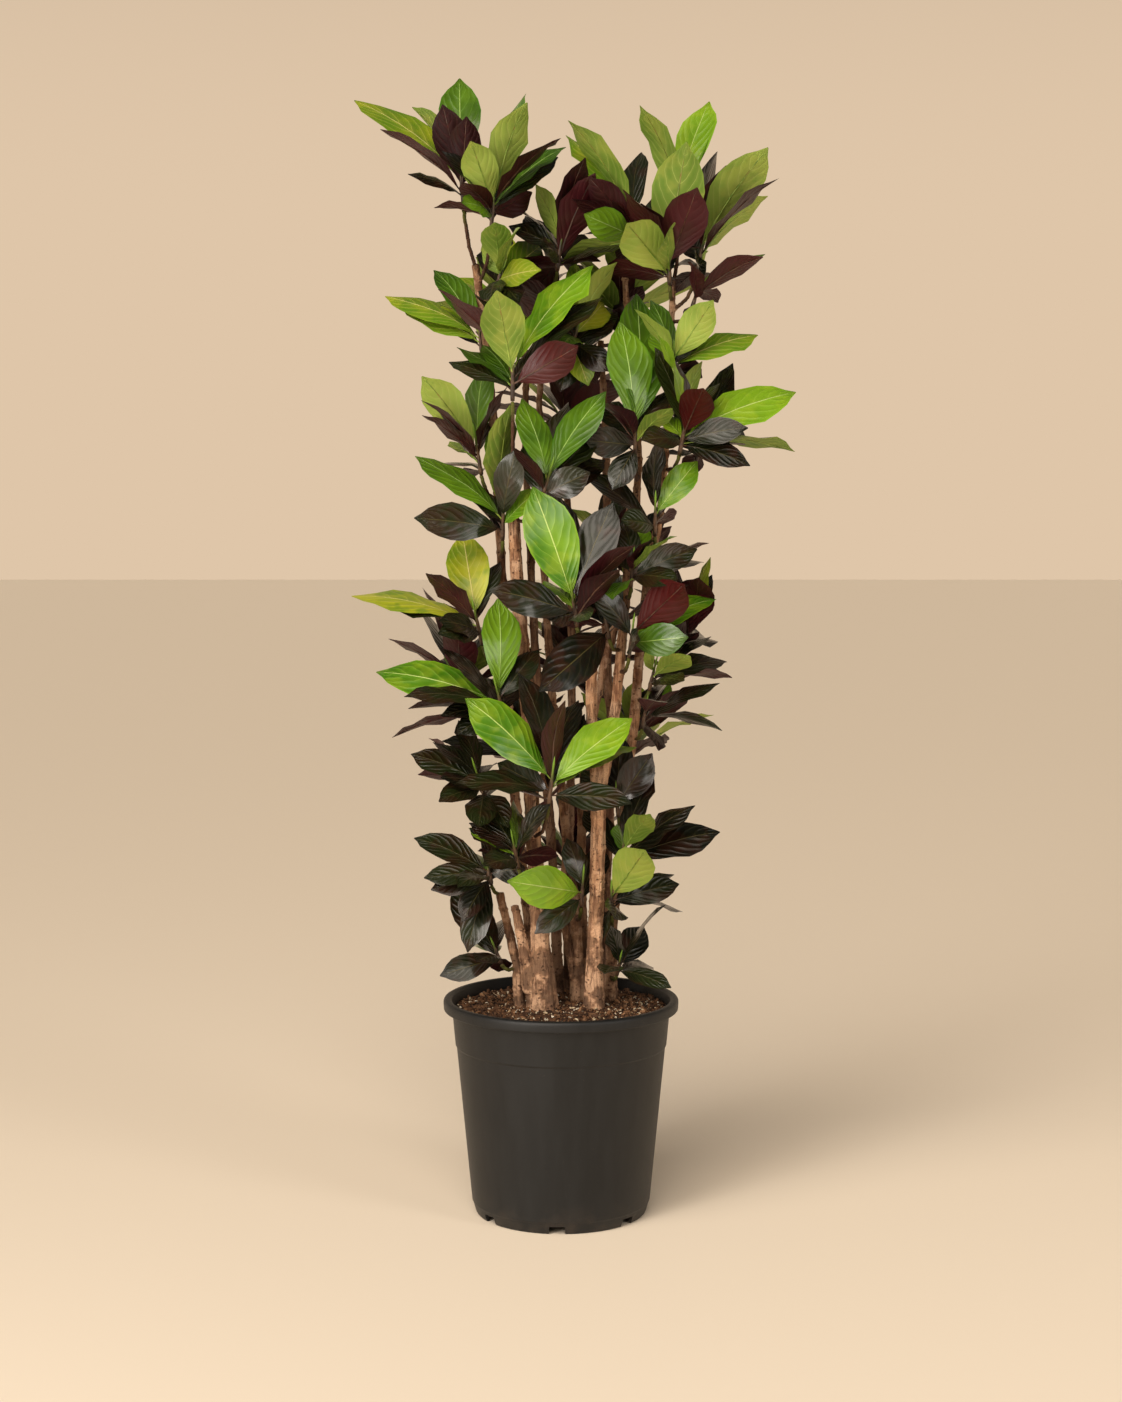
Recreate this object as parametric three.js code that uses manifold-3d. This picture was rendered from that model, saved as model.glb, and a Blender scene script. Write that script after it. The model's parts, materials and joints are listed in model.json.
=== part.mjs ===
// A potted croton: a black nursery pot full of potting mix, ten woody stems that stand in it, and the
// sprays of leaves that they carry. Millimetres, +Z up, the origin on the floor under the pot.
import * as THREE from "three";
import { mergeVertices } from "three/addons/utils/BufferGeometryUtils.js";
import Module from "manifold-3d";

const wasm = await Module();
wasm.setup();

// ---- driving dimensions ----
const pot = {
  height: 294,
  rimRadius: 160,
  rimHeight: 15,
  rimInner: 149,
  underRim: 148,
  stepHeight: 229,
  aboveStep: 143.6,
  belowStep: 142,
  footHeight: 17,
  footRadius: 121.5,
  footContact: 116,
  footRing: 4,
  footBevel: 3.5,
  round: 2,
  wall: 2.6,
  floor: 16,
  floorThickness: 4,
  centreFoot: 20,
  sides: 40,
};
const notches = { count: 7, width: 21, height: 11, depth: 24, turn: -0.045 };
const drain = { radius: 6, ring: 98, sides: 6 };
const soil = { level: 280, mound: 7, clear: 0.4, rings: [1, 0.84, 0.6, 0.32] }; // rings: shares of the radius
const gap = 0.35; // between pieces that touch
const stem = { foot: 232, step: 150, sides: 6, thinSides: 5, thin: 10.5 }; // its foot is down in the mix
const blade = {
  slender: 0.41, // width over length
  broadest: 0.43,
  shortest: 88,
  rib: 1.1, // depth of the rib under the blade
  arch: 0.07,
  heel: 1, // how far the root goes on past the shoot's axis
  free: 0.2, // the share of a leaf that may touch others of its spray, at the root
  full: [[0.3, 0.74], [0.56, 1], [0.81, 0.66]], // sections: share of the length, share of the width
  plain: [[0.36, 0.86], [0.72, 0.84]],
  plainBelow: 20,
};
const shoot = {
  uprightness: 0.9, length: 58, foot: 4.2, sides: 3, seenRoots: [0.25, 0.75], hiddenRoots: [0.08, 0.25],
};
const twig = { foot: 3.8, tip: 3.2, sides: 3 };
// Ways to bend a twig clear of other stems: across and away from the eye, in mm.
twig.bends = [[0, 0], [0, 18], [0, -18], [18, 0], [-18, 0], [0, 36], [0, -36], [34, 0], [-34, 0]];

// The plant's places are read in a front view of 1122 x 1402 units, taken by an eye in front of the pot:
// [across, down, depth] is a point of that view at a depth in mm behind the pot's axis.
const view = { distance: 3100, eyeHeight: 950, focal: 2310, across: 560.5, down: 701, pitch: 4.65 };
const pitch = THREE.MathUtils.degToRad(view.pitch);
const eye = new THREE.Vector3(0, -view.distance, view.eyeHeight);
const lookRight = new THREE.Vector3(1, 0, 0);
const lookUp = new THREE.Vector3(0, Math.sin(pitch), Math.cos(pitch));
const lookAhead = new THREE.Vector3(0, Math.cos(pitch), -Math.sin(pitch));
const up = new THREE.Vector3(0, 0, 1);

function placed([across, down, depth]) {
  const ray = lookAhead
    .clone()
    .addScaledVector(lookRight, (across - view.across) / view.focal)
    .addScaledVector(lookUp, (view.down - down) / view.focal);
  return eye.clone().addScaledVector(ray, (view.distance + depth) / ray.y);
}

// ---- stems: places from the mix upwards, and the radius at the foot and the top ----
const stems = {
  trunk_left: {
    radii: [20, 13, 11, 10.5, 10, 8.5],
    path: [[543, 985, -30], [539, 935, -32], [531, 885, -32], [533, 815, -28], [531, 755, -26],
      [524, 680, -24], [518, 600, -22], [514, 530, -22], [512, 505, -22]],
    forks: [{ radii: [9.5, 8, 6.5], path: [[532, 990, -34], [526, 962, -38], [520, 932, -40],
      [514, 905, -42]] }],
  },
  stub_left_outer: { radii: [8.5, 7, 6.5], path: [[521, 985, -18], [515, 960, -20], [507, 930, -22],
    [499, 893, -24]] },
  trunk_right: {
    radii: [14, 11, 10.5, 10.5, 11],
    path: [[594, 985, -24], [594, 940, -26], [596, 900, -26], [598, 850, -24], [598, 800, -22]],
    forks: [
      { radii: [9.5, 9, 8.5], path: [[598, 805, -22], [593, 760, -20], [590, 700, -20],
        [591, 640, -18]] },
      { radii: [9, 8, 7.5, 7], path: [[598, 805, -22], [609, 755, -20], [617, 690, -16], [622, 640, -14],
        [627, 570, -12], [630, 503, -12]] },
    ],
  },
  stem_right_tall: {
    radii: [9.5, 8.5, 8.5, 8, 7.5, 6.5, 5.5, 5],
    path: [[608, 985, 18], [612, 920, 20], [618, 860, 22], [626, 800, 24], [632, 740, 24], [636, 680, 22],
      [641, 620, 18], [649, 570, 12], [658, 520, 6], [665, 460, 2], [669, 400, -4], [671, 340, -8],
      [672, 287, -10]],
  },
  stem_centre_right: {
    radii: [9, 8, 7.5, 7, 6.5, 5.5, 5],
    path: [[582, 978, 52], [582, 900, 54], [581, 800, 54], [590, 710, 52], [611, 640, 48], [630, 570, 42],
      [639, 510, 38], [637, 440, 36], [631, 360, 32], [626, 300, 28], [623, 262, 24]],
  },
  stem_centre: {
    radii: [10.5, 8.5, 7, 6.5, 6, 5, 5],
    path: [[576, 985, 14], [576, 930, 18], [572, 870, 22], [562, 810, 26], [555, 740, 30], [549, 660, 32],
      [544, 580, 34], [541, 500, 36], [539, 420, 34], [540, 340, 28], [545, 290, 22]],
    forks: [{ radii: [6.5, 5.5, 5], path: [[574, 980, 12], [563, 930, 4], [561, 890, 2],
      [565, 842, 2]] }],
  },
  stem_left_tall: {
    radii: [9.5, 8.5, 8, 7.5, 7, 7, 6.5],
    path: [[534, 975, 26], [526, 910, 32], [519, 850, 38], [514, 790, 40], [509, 730, 40], [505, 660, 38],
      [502, 590, 34], [499, 530, 30], [495, 460, 24], [490, 390, 20], [485, 320, 16], [479, 282, 12],
      [475, 264, 10]],
  },
  stem_back_left: {
    radii: [8.5, 7.5, 6.5, 5.5],
    path: [[557, 970, 70], [553, 880, 74], [546, 780, 78], [535, 660, 82], [529, 540, 84], [524, 430, 82],
      [526, 350, 76]],
  },
  stem_back_right: {
    radii: [8.5, 7.5, 6.5, 5.5],
    path: [[602, 968, 80], [604, 880, 82], [613, 780, 86], [605, 660, 90], [607, 540, 90], [605, 430, 86],
      [600, 340, 80]],
  },
  stem_back_middle: {
    radii: [8.5, 7.5, 6, 5],
    path: [[569, 966, 92], [567, 880, 100], [571, 780, 106], [571, 660, 110], [569, 540, 110],
      [564, 440, 104]],
  },
};

// ---- sprays: the stem and the height where the twig leaves it, the shoot's tip, and the leaves that are
// seen from the front: [tip across, tip down, apparent width, tone, further lean of the tip in mm, if any] ----
const sprays = {
  crown_left_outer: { stem: "stem_left_tall", from: 276, tip: [459, 162, -26], behind: 0, leaves: [
    [442, 104, 34, "maroon"], [466, 116, 32, "maroon"], [353, 100, 26, "yellow"],
    [379, 129, 10, "maroon"], [459, 78, 41, "green", 45], [407, 174, 8, "dark"],
    [411, 107, 10, "pale", 60]] },
  crown_left_inner: { stem: "stem_left_tall", from: 284, tip: [494, 184, -50], leaves: [
    [470, 141, 34, "pale"], [532, 192, 28, "maroon"], [558, 157, 25, "dark"], [566, 147, 17, "green"],
    [500, 127, 28, "green", 30], [441, 151, 14, "dark"], [527, 102, 34, "pale", 40],
    [526, 93, 15, "lime", 20], [461, 182, 20, "maroon"], [433, 208, 8, "maroon"], [461, 203, 12, "green"],
    [561, 138, 12, "maroon", 40]] },
  heart_left: { stem: "stem_left_tall", from: 300, tip: [502, 266, -15], leaves: [
    [494, 222, 30, "pale"], [541, 245, 34, "yellow"], [520, 227, 7, "pale"], [541, 270, 24, "yellow"],
    [487, 240, 24, "pale", 60], [490, 300, 20, "dark"], [519, 303, 22, "dark"]] },
  crown_middle: { stem: "stem_centre", from: 300, tip: [562, 232, 0], leaves: [
    [585, 157, 26, "maroon"], [508, 226, 20, "dark", -30], [529, 297, 27, "maroon", -20],
    [592, 245, 20, "maroon"], [541, 248, 18, "dark"], [535, 184, 20, "pale", 50],
    [578, 185, 22, "pale", 40], [549, 266, 24, "maroon", 30]] },
  crown_right_inner: { stem: "stem_centre_right", from: 275, tip: [634, 214, -15], leaves: [
    [588, 177, 28, "maroon"], [571, 199, 17, "maroon"], [565, 135, 24, "yellow", 15],
    [567, 120, 26, "pale", 35], [583, 214, 32, "green"], [641, 152, 26, "dark", 50],
    [611, 242, 14, "pale"], [582, 188, 22, "pale", 60], [560, 264, 20, "pale", 15],
    [617, 262, 22, "pale"]] },
  crown_right: { stem: "stem_right_tall", from: 300, tip: [668, 254, -60], leaves: [
    [686, 141, 50, "pale"], [697, 187, 42, "maroon"], [640, 203, 26, "maroon"], [626, 223, 42, "pale"],
    [674, 222, 13, "pale", -30], [668, 278, 26, "maroon"], [622, 189, 18, "maroon", 25]] },
  crown_right_top: { stem: "stem_right_tall", from: 292, tip: [681, 178, -6], behind: 0, leaves: [
    [639, 105, 25, "pale", -10], [709, 101, 34, "lime", 20], [710, 113, 28, "green"]] },
  crown_right_outer: { stem: "stem_right_tall", from: 312, tip: [705, 232, -25], behind: 0, leaves: [
    [768, 147, 42, "pale"], [779, 178, 9, "maroon"], [726, 165, 22, "maroon"], [717, 151, 20, "dark", 30],
    [706, 262, 28, "dark", -10], [768, 196, 15, "pale", 30], [703, 262, 12, "pale", -45]] },
  crown_right_low: { stem: "stem_right_tall", from: 322, tip: [701, 277, -50], behind: 0, leaves: [
    [763, 257, 20, "maroon"], [765, 254, 10, "green", 25], [690, 262, 13, "maroon"]] },
  shoulder_left: { stem: "trunk_left", from: 508, tip: [512, 356, -95], leaves: [
    [578, 346, 36, "red"], [496, 290, 42, "pale"], [437, 289, 16, "maroon"], [593, 265, 32, "lime"],
    [603, 297, 22, "dark", -10], [473, 293, 13, "dark", 15], [456, 347, 11, "green", 15],
    [448, 362, 18, "dark", 30], [482, 345, 20, "green", 10]] },
  shoulder_left_outer: { stem: "stem_left_tall", from: 376, tip: [478, 322, -24], behind: 0, leaves: [
    [433, 270, 26, "green", 20], [400, 307, 24, "yellow", 10], [384, 296, 20, "yellow", 30],
    [432, 317, 20, "dark", 10]] },
  flank_left_upper: { stem: "stem_left_tall", from: 500, tip: [474, 433, -35], leaves: [
    [421, 376, 36, "pale"], [487, 362, 27, "green"], [508, 385, 9, "maroon"], [420, 400, 9, "maroon"],
    [421, 415, 12, "maroon"], [447, 446, 5, "pale"], [470, 385, 14, "dark", 50]] },
  flank_left: { stem: "stem_left_tall", from: 556, tip: [503, 500, -50], leaves: [
    [414, 456, 25, "green"], [490, 427, 28, "green", -20], [516, 448, 28, "dark"],
    [413, 518, 36, "dark", -10], [540, 490, 20, "lime", -55], [486, 512, 14, "maroon", -25],
    [468, 488, 18, "dark", 30], [510, 404, 20, "pale", 50]] },
  front_upper: { stem: "trunk_left", from: 520, tip: [551, 466, -88], leaves: [
    [521, 398, 30, "green"], [606, 391, 32, "green"], [602, 430, 27, "dark"], [512, 447, 12, "maroon"],
    [568, 402, 20, "dark", 30], [590, 472, 30, "dark", 50], [562, 418, 26, "dark", 70],
    [538, 548, 26, "dark", 60]] },
  centre_upper: { stem: "stem_centre_right", from: 476, tip: [634, 418, -76], leaves: [
    [619, 321, 42, "green", -15], [636, 293, 44, "green", 20], [607, 403, 16, "maroon", -25],
    [672, 408, 18, "pale"], [602, 404, 26, "dark", 10], [584, 440, 30, "dark", 50],
    [668, 390, 20, "dark", 30], [612, 490, 26, "dark", 40]] },
  heart_upper: { stem: "stem_centre", from: 372, tip: [580, 318, -20], leaves: [
    [588, 386, 26, "yellow", 30], [603, 303, 30, "yellow"], [617, 262, 20, "pale", 25],
    [545, 372, 24, "green"], [562, 345, 22, "green"], [611, 372, 24, "dark", 30],
    [560, 392, 28, "dark", 30], [575, 262, 24, "yellow", 40]] },
  shoulder_right: { stem: "stem_right_tall", from: 392, tip: [673, 350, -40], leaves: [
    [758, 335, 22, "yellow"], [713, 300, 33, "pale"], [650, 333, 22, "green"], [728, 347, 14, "dark", 20],
    [697, 335, 20, "dark"], [634, 309, 13, "pale", 25], [702, 378, 24, "maroon", -10],
    [650, 300, 20, "green", 40]] },
  flank_right_top: { stem: "stem_right_tall", from: 470, tip: [686, 418, -55], leaves: [
    [796, 392, 38, "lime"], [703, 388, 34, "red", -20], [655, 332, 10, "lime", -20],
    [748, 428, 25, "dark", 10], [750, 466, 23, "dark"], [795, 452, 9, "pale", 25],
    [702, 361, 17, "pale", 20], [654, 347, 26, "dark", 20], [720, 383, 12, "dark", 30],
    [650, 410, 16, "lime", -10], [640, 440, 20, "dark", 20]] },
  flank_right_upper: { stem: "stem_right_tall", from: 548, tip: [655, 500, -60], leaves: [
    [697, 461, 28, "lime"], [660, 436, 20, "dark"], [637, 476, 9, "lime"], [674, 519, 11, "maroon", -20],
    [683, 497, 5, "dark"], [620, 520, 22, "dark", 30]] },
  front_middle: { stem: "trunk_right", fork: 0, from: 642, tip: [571, 588, -120], leaves: [
    [532, 486, 50, "lime"], [613, 502, 42, "dark"], [636, 545, 18, "maroon", -10],
    [488, 590, 34, "dark", -10], [543, 581, 14, "lime"], [583, 571, 7, "lime"],
    [548, 484, 20, "dark", 40], [588, 620, 18, "dark", -10], [545, 618, 22, "dark", 50]] },
  flank_right: { stem: "trunk_right", fork: 1, from: 596, tip: [633, 556, -75], leaves: [
    [697, 549, 28, "dark"], [641, 523, 26, "green"], [650, 540, 12, "maroon"], [677, 536, 5, "pale"],
    [678, 580, 20, "dark"], [622, 520, 22, "dark", 30], [612, 600, 12, "green", 10],
    [590, 545, 20, "dark", 40]] },
  heart_middle: { stem: "trunk_right", fork: 1, from: 650, tip: [603, 610, -60], leaves: [
    [538, 692, 44, "dark", -20], [598, 540, 26, "dark"], [570, 575, 22, "dark", 30],
    [632, 590, 20, "dark", 20], [562, 680, 30, "dark", 60], [622, 575, 14, "green", -10]] },
  flank_left_middle: { stem: "stem_left_tall", from: 664, tip: [473, 606, -45], leaves: [
    [350, 596, 20, "yellow"], [462, 532, 42, "yellow"], [430, 612, 15, "maroon"],
    [425, 573, 20, "maroon"], [380, 605, 7, "dark"], [500, 562, 20, "dark", 20], [438, 621, 20, "dark"],
    [437, 634, 22, "dark", -5], [472, 572, 22, "dark", -20]] },
  flank_left_lower: { stem: "trunk_left", from: 742, tip: [495, 684, -85], leaves: [
    [375, 672, 38, "lime"], [497, 598, 38, "green"], [403, 697, 17, "dark"], [407, 709, 11, "maroon"],
    [391, 738, 9, "maroon", -10], [517, 671, 20, "dark", -20], [440, 716, 18, "dark", 15],
    [455, 735, 22, "dark", 25], [538, 650, 26, "dark", 70]] },
  front_lower: { stem: "trunk_left", from: 838, tip: [553, 766, -120], leaves: [
    [464, 698, 42, "lime"], [632, 718, 38, "lime"], [497, 763, 31, "dark"], [632, 804, 27, "dark"],
    [517, 672, 30, "dark", 10], [455, 783, 20, "dark", 10], [637, 747, 16, "lime", 25],
    [565, 700, 20, "maroon", 40], [578, 700, 28, "dark", 60]] },
  low_left: { stem: "stem_left_tall", from: 812, tip: [474, 766, -45], leaves: [
    [410, 754, 26, "dark"], [417, 775, 13, "maroon"], [438, 802, 21, "dark"], [432, 742, 14, "dark", 15],
    [478, 828, 32, "dark"], [508, 828, 26, "dark", -5], [458, 720, 20, "dark", 25],
    [440, 778, 12, "dark", 20]] },
  low_left_front: { stem: "trunk_left", from: 876, tip: [512, 838, -90], leaves: [
    [468, 828, 18, "lime"], [513, 800, 14, "green"], [550, 804, 17, "dark"], [558, 856, 18, "maroon", -5],
    [482, 866, 20, "dark"], [480, 800, 24, "dark", 40]] },
  low_left_outer: { stem: "stub_left_outer", from: 894, tip: [487, 866, -45], leaves: [
    [413, 838, 26, "dark"], [423, 878, 22, "dark"], [463, 848, 12, "lime", -20],
    [430, 890, 24, "dark", 10], [525, 868, 26, "dark"], [457, 888, 16, "dark", -25],
    [462, 922, 24, "dark"], [467, 953, 29, "dark", -10]] },
  base_left: { stem: "stub_left_outer", from: 968, tip: [493, 945, -42], leaves: [
    [439, 976, 26, "dark"], [478, 944, 14, "green"], [505, 918, 20, "dark", 20],
    [476, 962, 14, "dark", 30]] },
  low_front: { stem: "stem_centre", from: 920, tip: [583, 873, -38], leaves: [
    [506, 881, 42, "lime", -30], [534, 934, 26, "dark"], [566, 838, 24, "dark", 20]] },
  low_right: { stem: "stem_right_tall", from: 926, tip: [611, 888, -25], leaves: [
    [645, 850, 42, "pale", -20], [679, 884, 28, "dark"], [655, 856, 14, "dark", 40],
    [683, 912, 6, "dark", 10], [614, 919, 16, "dark"], [598, 940, 16, "dark", 40]] },
  low_right_upper: { stem: "stem_right_tall", from: 880, tip: [624, 836, -30], leaves: [
    [720, 832, 36, "dark"], [616, 824, 16, "green", -25], [650, 814, 26, "pale", -10],
    [655, 772, 24, "dark"], [690, 828, 16, "dark", 25]] },
  middle_right: { stem: "stem_right_tall", from: 832, tip: [616, 790, -10], leaves: [
    [652, 753, 34, "dark"], [600, 706, 26, "dark", 50], [580, 770, 24, "dark", 40],
    [646, 812, 18, "pale", 20]] },
  flank_right_lower: { stem: "stem_right_tall", from: 740, tip: [646, 704, -12], leaves: [
    [658, 751, 13, "maroon"], [722, 731, 9, "dark"], [658, 702, 20, "maroon"],
    [638, 740, 16, "maroon", 20]] },
  flank_right_middle: { stem: "trunk_right", fork: 1, from: 672, tip: [633, 622, -75], leaves: [
    [684, 584, 40, "red"], [716, 599, 24, "lime", 10], [688, 637, 32, "green", 20],
    [662, 642, 20, "maroon", 10], [590, 585, 24, "dark", -5], [640, 640, 20, "dark", 30]] },
  flank_right_tail: { stem: "stem_right_tall", from: 700, tip: [655, 664, -20], leaves: [
    [727, 662, 19, "dark", 15], [732, 678, 9, "maroon"], [657, 636, 10, "pale"],
    [690, 656, 22, "pale", -15], [684, 681, 11, "dark"], [638, 637, 22, "maroon", -10]] },
  base_right: { stem: "stem_right_tall", from: 974, tip: [620, 958, -25], leaves: [
    [643, 926, 30, "dark"], [608, 924, 20, "dark", 10], [671, 988, 18, "dark"],
    [604, 974, 12, "dark", 10]] },
};

// ---- leaves that the front view hides: more behind each seen shoot, and whole sprays round the back ----
const hidden = {
  perShoot: 2, perBackShoot: 11, backRoots: [0.1, 0.75], length: [102, 134], rise: [14, 60], backRise: [0, 68],
  turn: 137.5, spread: 100, wander: 40, roll: 60, margin: 12,
  youngFrom: 1050, youngOver: 450, youngShare: [0.15, 0.75], // young leaves get commoner with the height
};
// Ways to turn and lift a hidden leaf clear of others, in degrees.
hidden.ways = [0, 25, -25, 50, -50, 75, -75].flatMap((turn) =>
  [0, 18, -14].map((lift) => ({ turn, lift })));
const backSprays = [
  { stem: "stem_back_left", from: 356, azimuth: -24, reach: 74, rise: 78 },
  { stem: "stem_back_right", from: 346, azimuth: 28, reach: 72, rise: 80 },
  { stem: "stem_back_middle", from: 446, azimuth: 0, reach: 82, rise: 70 },
  { stem: "stem_right_tall", from: 470, azimuth: 62, reach: 72, rise: 58 },
  { stem: "stem_back_right", from: 590, azimuth: 24, reach: 96, rise: 44 },
  { stem: "stem_back_middle", from: 680, azimuth: -8, reach: 72, rise: 30 },
  { stem: "stem_right_tall", from: 655, azimuth: 70, reach: 88, rise: 48 },
  { stem: "stem_left_tall", from: 700, azimuth: -64, reach: 92, rise: 46 },
  { stem: "stem_back_left", from: 770, azimuth: -24, reach: 98, rise: 36 },
  { stem: "stem_back_right", from: 760, azimuth: 26, reach: 90, rise: 34 },
  { stem: "stem_back_middle", from: 880, azimuth: 0, reach: 100, rise: 40 },
];
// How far the foliage reaches to the left and the right in the front view, at heights down the plant.
const outline = [
  [70, 420, 560], [100, 352, 760], [190, 372, 780], [300, 392, 745], [400, 408, 796], [500, 412, 720],
  [600, 350, 732], [700, 376, 732], [800, 410, 720], [900, 418, 690], [980, 440, 672],
];
// Ways to move a seen leaf clear of others: its tip further from the eye in mm, and a roll about its rib.
const seenWays = [0, 0.2, -0.2].flatMap((roll) =>
  [0, 12, -12, 24, -24, 38, -38, 54, -54, 72, -72].map((lean) => ({ lean, roll })));

// ---- materials ----
const tones = {
  lime: "#a9bf3c", yellow: "#b3b348", green: "#5d8a2a", pale: "#8f9a3e",
  dark: "#26331a", red: "#8a2f2c", maroon: "#54252a",
};
const undersides = ["pale", "red", "maroon"]; // tones of a leaf that shows its lower side to the front

function finish(name, color, roughness) {
  return new THREE.MeshStandardMaterial({ name, color, roughness, metalness: 0 });
}

const leafFinishes = Object.fromEntries(
  Object.entries(tones).map(([tone, color]) => [tone, finish(tone, color, 0.35)]),
);
const barkFinish = finish("bark", "#a87e58", 0.85);
const soilFinish = finish("potting mix", "#3d2a1e", 0.95);
const potFinish = finish("black plastic", "#222120", 0.5);

// ---- helpers ----
function draw(...keys) {
  // A number between 0 and 1 that is the same for the same keys, every time.
  let seed = 7;
  for (const key of keys) seed = ((seed + key) * 1664525 + 1013904223) % 4294967296;
  return ((seed * 1664525 + 1013904223) % 4294967296) / 4294967296;
}

function between([low, high], share) {
  return low + (high - low) * share;
}

function spread(values, share) {
  const place = share * (values.length - 1);
  const i = Math.min(Math.floor(place), values.length - 2);
  return between([values[i], values[i + 1]], place - i);
}

function geometryOf(positions, triangles) {
  const geometry = new THREE.BufferGeometry();
  geometry.setAttribute("position", new THREE.Float32BufferAttribute(positions, 3));
  geometry.setIndex(triangles);
  return geometry;
}

function solidOf(geometry) {
  geometry.deleteAttribute("normal");
  geometry.deleteAttribute("uv");
  const merged = mergeVertices(geometry, 1e-4);
  const corners = merged.index.array;
  const kept = [];
  for (let i = 0; i < corners.length; i += 3) {
    const [a, b, c] = [corners[i], corners[i + 1], corners[i + 2]];
    if (a !== b && b !== c && c !== a) kept.push(a, b, c);
  }
  return new wasm.Manifold(new wasm.Mesh({
    numProp: 3,
    vertProperties: merged.attributes.position.array,
    triVerts: new Uint32Array(kept),
  }));
}

function meshOf(name, solid, material) {
  const { vertProperties, triVerts } = solid.getMesh();
  const geometry = geometryOf(Array.from(vertProperties), Array.from(triVerts)).toNonIndexed();
  geometry.computeVertexNormals();
  const mesh = new THREE.Mesh(geometry, material);
  mesh.name = name;
  return mesh;
}

function turned(profile, sides) {
  // A body of revolution about Z, from [radius, height] points that go up its outside.
  const lathe = new THREE.LatheGeometry(profile.map(([r, z]) => new THREE.Vector2(r, z)), sides);
  return solidOf(lathe.rotateX(Math.PI / 2));
}

function rod(points, radii, sides) {
  // A rod through the points, with a radius at each and flat ends.
  const rings = points.length - 1;
  const positions = [];
  const triangles = [];
  let across = new THREE.Vector3(1, 0, 0);
  points.forEach((point, ring) => {
    const along = points[Math.min(ring + 1, rings)].clone().sub(points[Math.max(ring - 1, 0)]).normalize();
    across = across.clone().addScaledVector(along, -across.dot(along)).normalize();
    const over = along.clone().cross(across);
    for (let i = 0; i < sides; i++) {
      const angle = (2 * Math.PI * i) / sides;
      const corner = point.clone().addScaledVector(across, radii[ring] * Math.cos(angle));
      corner.addScaledVector(over, radii[ring] * Math.sin(angle));
      positions.push(corner.x, corner.y, corner.z);
    }
  });
  for (let ring = 0; ring < rings; ring++) {
    for (let i = 0; i < sides; i++) {
      const a = ring * sides + i;
      const b = ring * sides + ((i + 1) % sides);
      triangles.push(a, b, b + sides, a, b + sides, a + sides);
    }
  }
  const end = rings * sides;
  for (let i = 1; i < sides - 1; i++) triangles.push(0, i + 1, i, end, end + i, end + i + 1);
  return solidOf(geometryOf(positions, triangles));
}

// ---- pot and potting mix ----
function innerWall(height) {
  // The pot's inner radius at a height between its floor and its rim.
  const { floor, footRadius, wall, stepHeight, belowStep, aboveStep, underRim } = pot;
  if (height < stepHeight) {
    return between([footRadius, belowStep], (height - floor) / (stepHeight - floor)) - wall;
  }
  const rimFoot = pot.height - pot.rimHeight;
  return between([aboveStep, underRim], (height - stepHeight) / (rimFoot - stepHeight)) - wall;
}

function makePot() {
  const { height, rimRadius, rimInner, underRim, footContact, footBevel, stepHeight, floor, round } = pot;
  const rimFoot = height - pot.rimHeight;
  const plate = floor - pot.floorThickness;
  const ring = footContact - pot.footRing;
  let body = turned([
    [0, 0], [pot.centreFoot, 0], [pot.centreFoot, plate], [ring, plate], [ring, 0],
    [footContact, 0], [footContact + footBevel, footBevel], [pot.footRadius, pot.footHeight],
    [pot.belowStep, stepHeight], [pot.aboveStep, stepHeight + round], [underRim, rimFoot],
    [rimRadius, rimFoot], [rimRadius, height - round], [rimRadius - round, height], [rimInner, height],
    [underRim - pot.wall, rimFoot], [innerWall(floor), floor], [0, floor],
  ], pot.sides);
  for (let i = 0; i < notches.count; i++) {
    const angle = (2 * Math.PI * i) / notches.count + notches.turn - Math.PI / 2;
    const notch = new THREE.BoxGeometry(notches.depth, notches.width, 2 * notches.height).rotateZ(angle);
    notch.translate(footContact * Math.cos(angle), footContact * Math.sin(angle), 0);
    const hole = new THREE.CylinderGeometry(drain.radius, drain.radius, 2 * floor, drain.sides);
    hole.rotateX(Math.PI / 2).translate(drain.ring * Math.cos(angle), drain.ring * Math.sin(angle), floor);
    body = body.subtract(solidOf(notch)).subtract(solidOf(hole));
  }
  return body;
}

function makeSoil(holes) {
  const edge = innerWall(soil.level) - soil.clear;
  const base = pot.floor + soil.clear;
  const body = turned([
    [0, base], [innerWall(base) - soil.clear, base],
    ...soil.rings.map((share) => [edge * share, soil.level + soil.mound * (1 - share * share)]),
    [0, soil.level + soil.mound],
  ], pot.sides / 2);
  return holes.reduce((block, hole) => block.subtract(hole), body);
}

// ---- what stands already: every stem, shoot and leaf, which later ones are bent clear of ----
const standing = [];

function stand(node, solid, loose = false) {
  standing.push({ node, solid, box: solid.boundingBox(), loose });
}

function meets(solid, test) {
  const { min, max } = solid.boundingBox();
  const near = ({ box }) => min.every((low, axis) => low < box.max[axis] && box.min[axis] < max[axis]);
  return standing.some((other) => test(other) && near(other) && !solid.intersect(other.solid).isEmpty());
}

// ---- stems and the twigs on them ----
function stemRun(path, radii, rooted) {
  const places = path.map(placed);
  if (rooted) places.unshift(new THREE.Vector3(places[0].x, places[0].y, stem.foot));
  const curve = new THREE.CatmullRomCurve3(places);
  const count = Math.ceil(curve.getLength() / stem.step);
  return {
    points: curve.getSpacedPoints(count),
    radii: Array.from({ length: count + 1 }, (_, i) => spread(radii, i / count)),
    sides: radii[0] > stem.thin ? stem.sides : stem.thinSides,
  };
}

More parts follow.
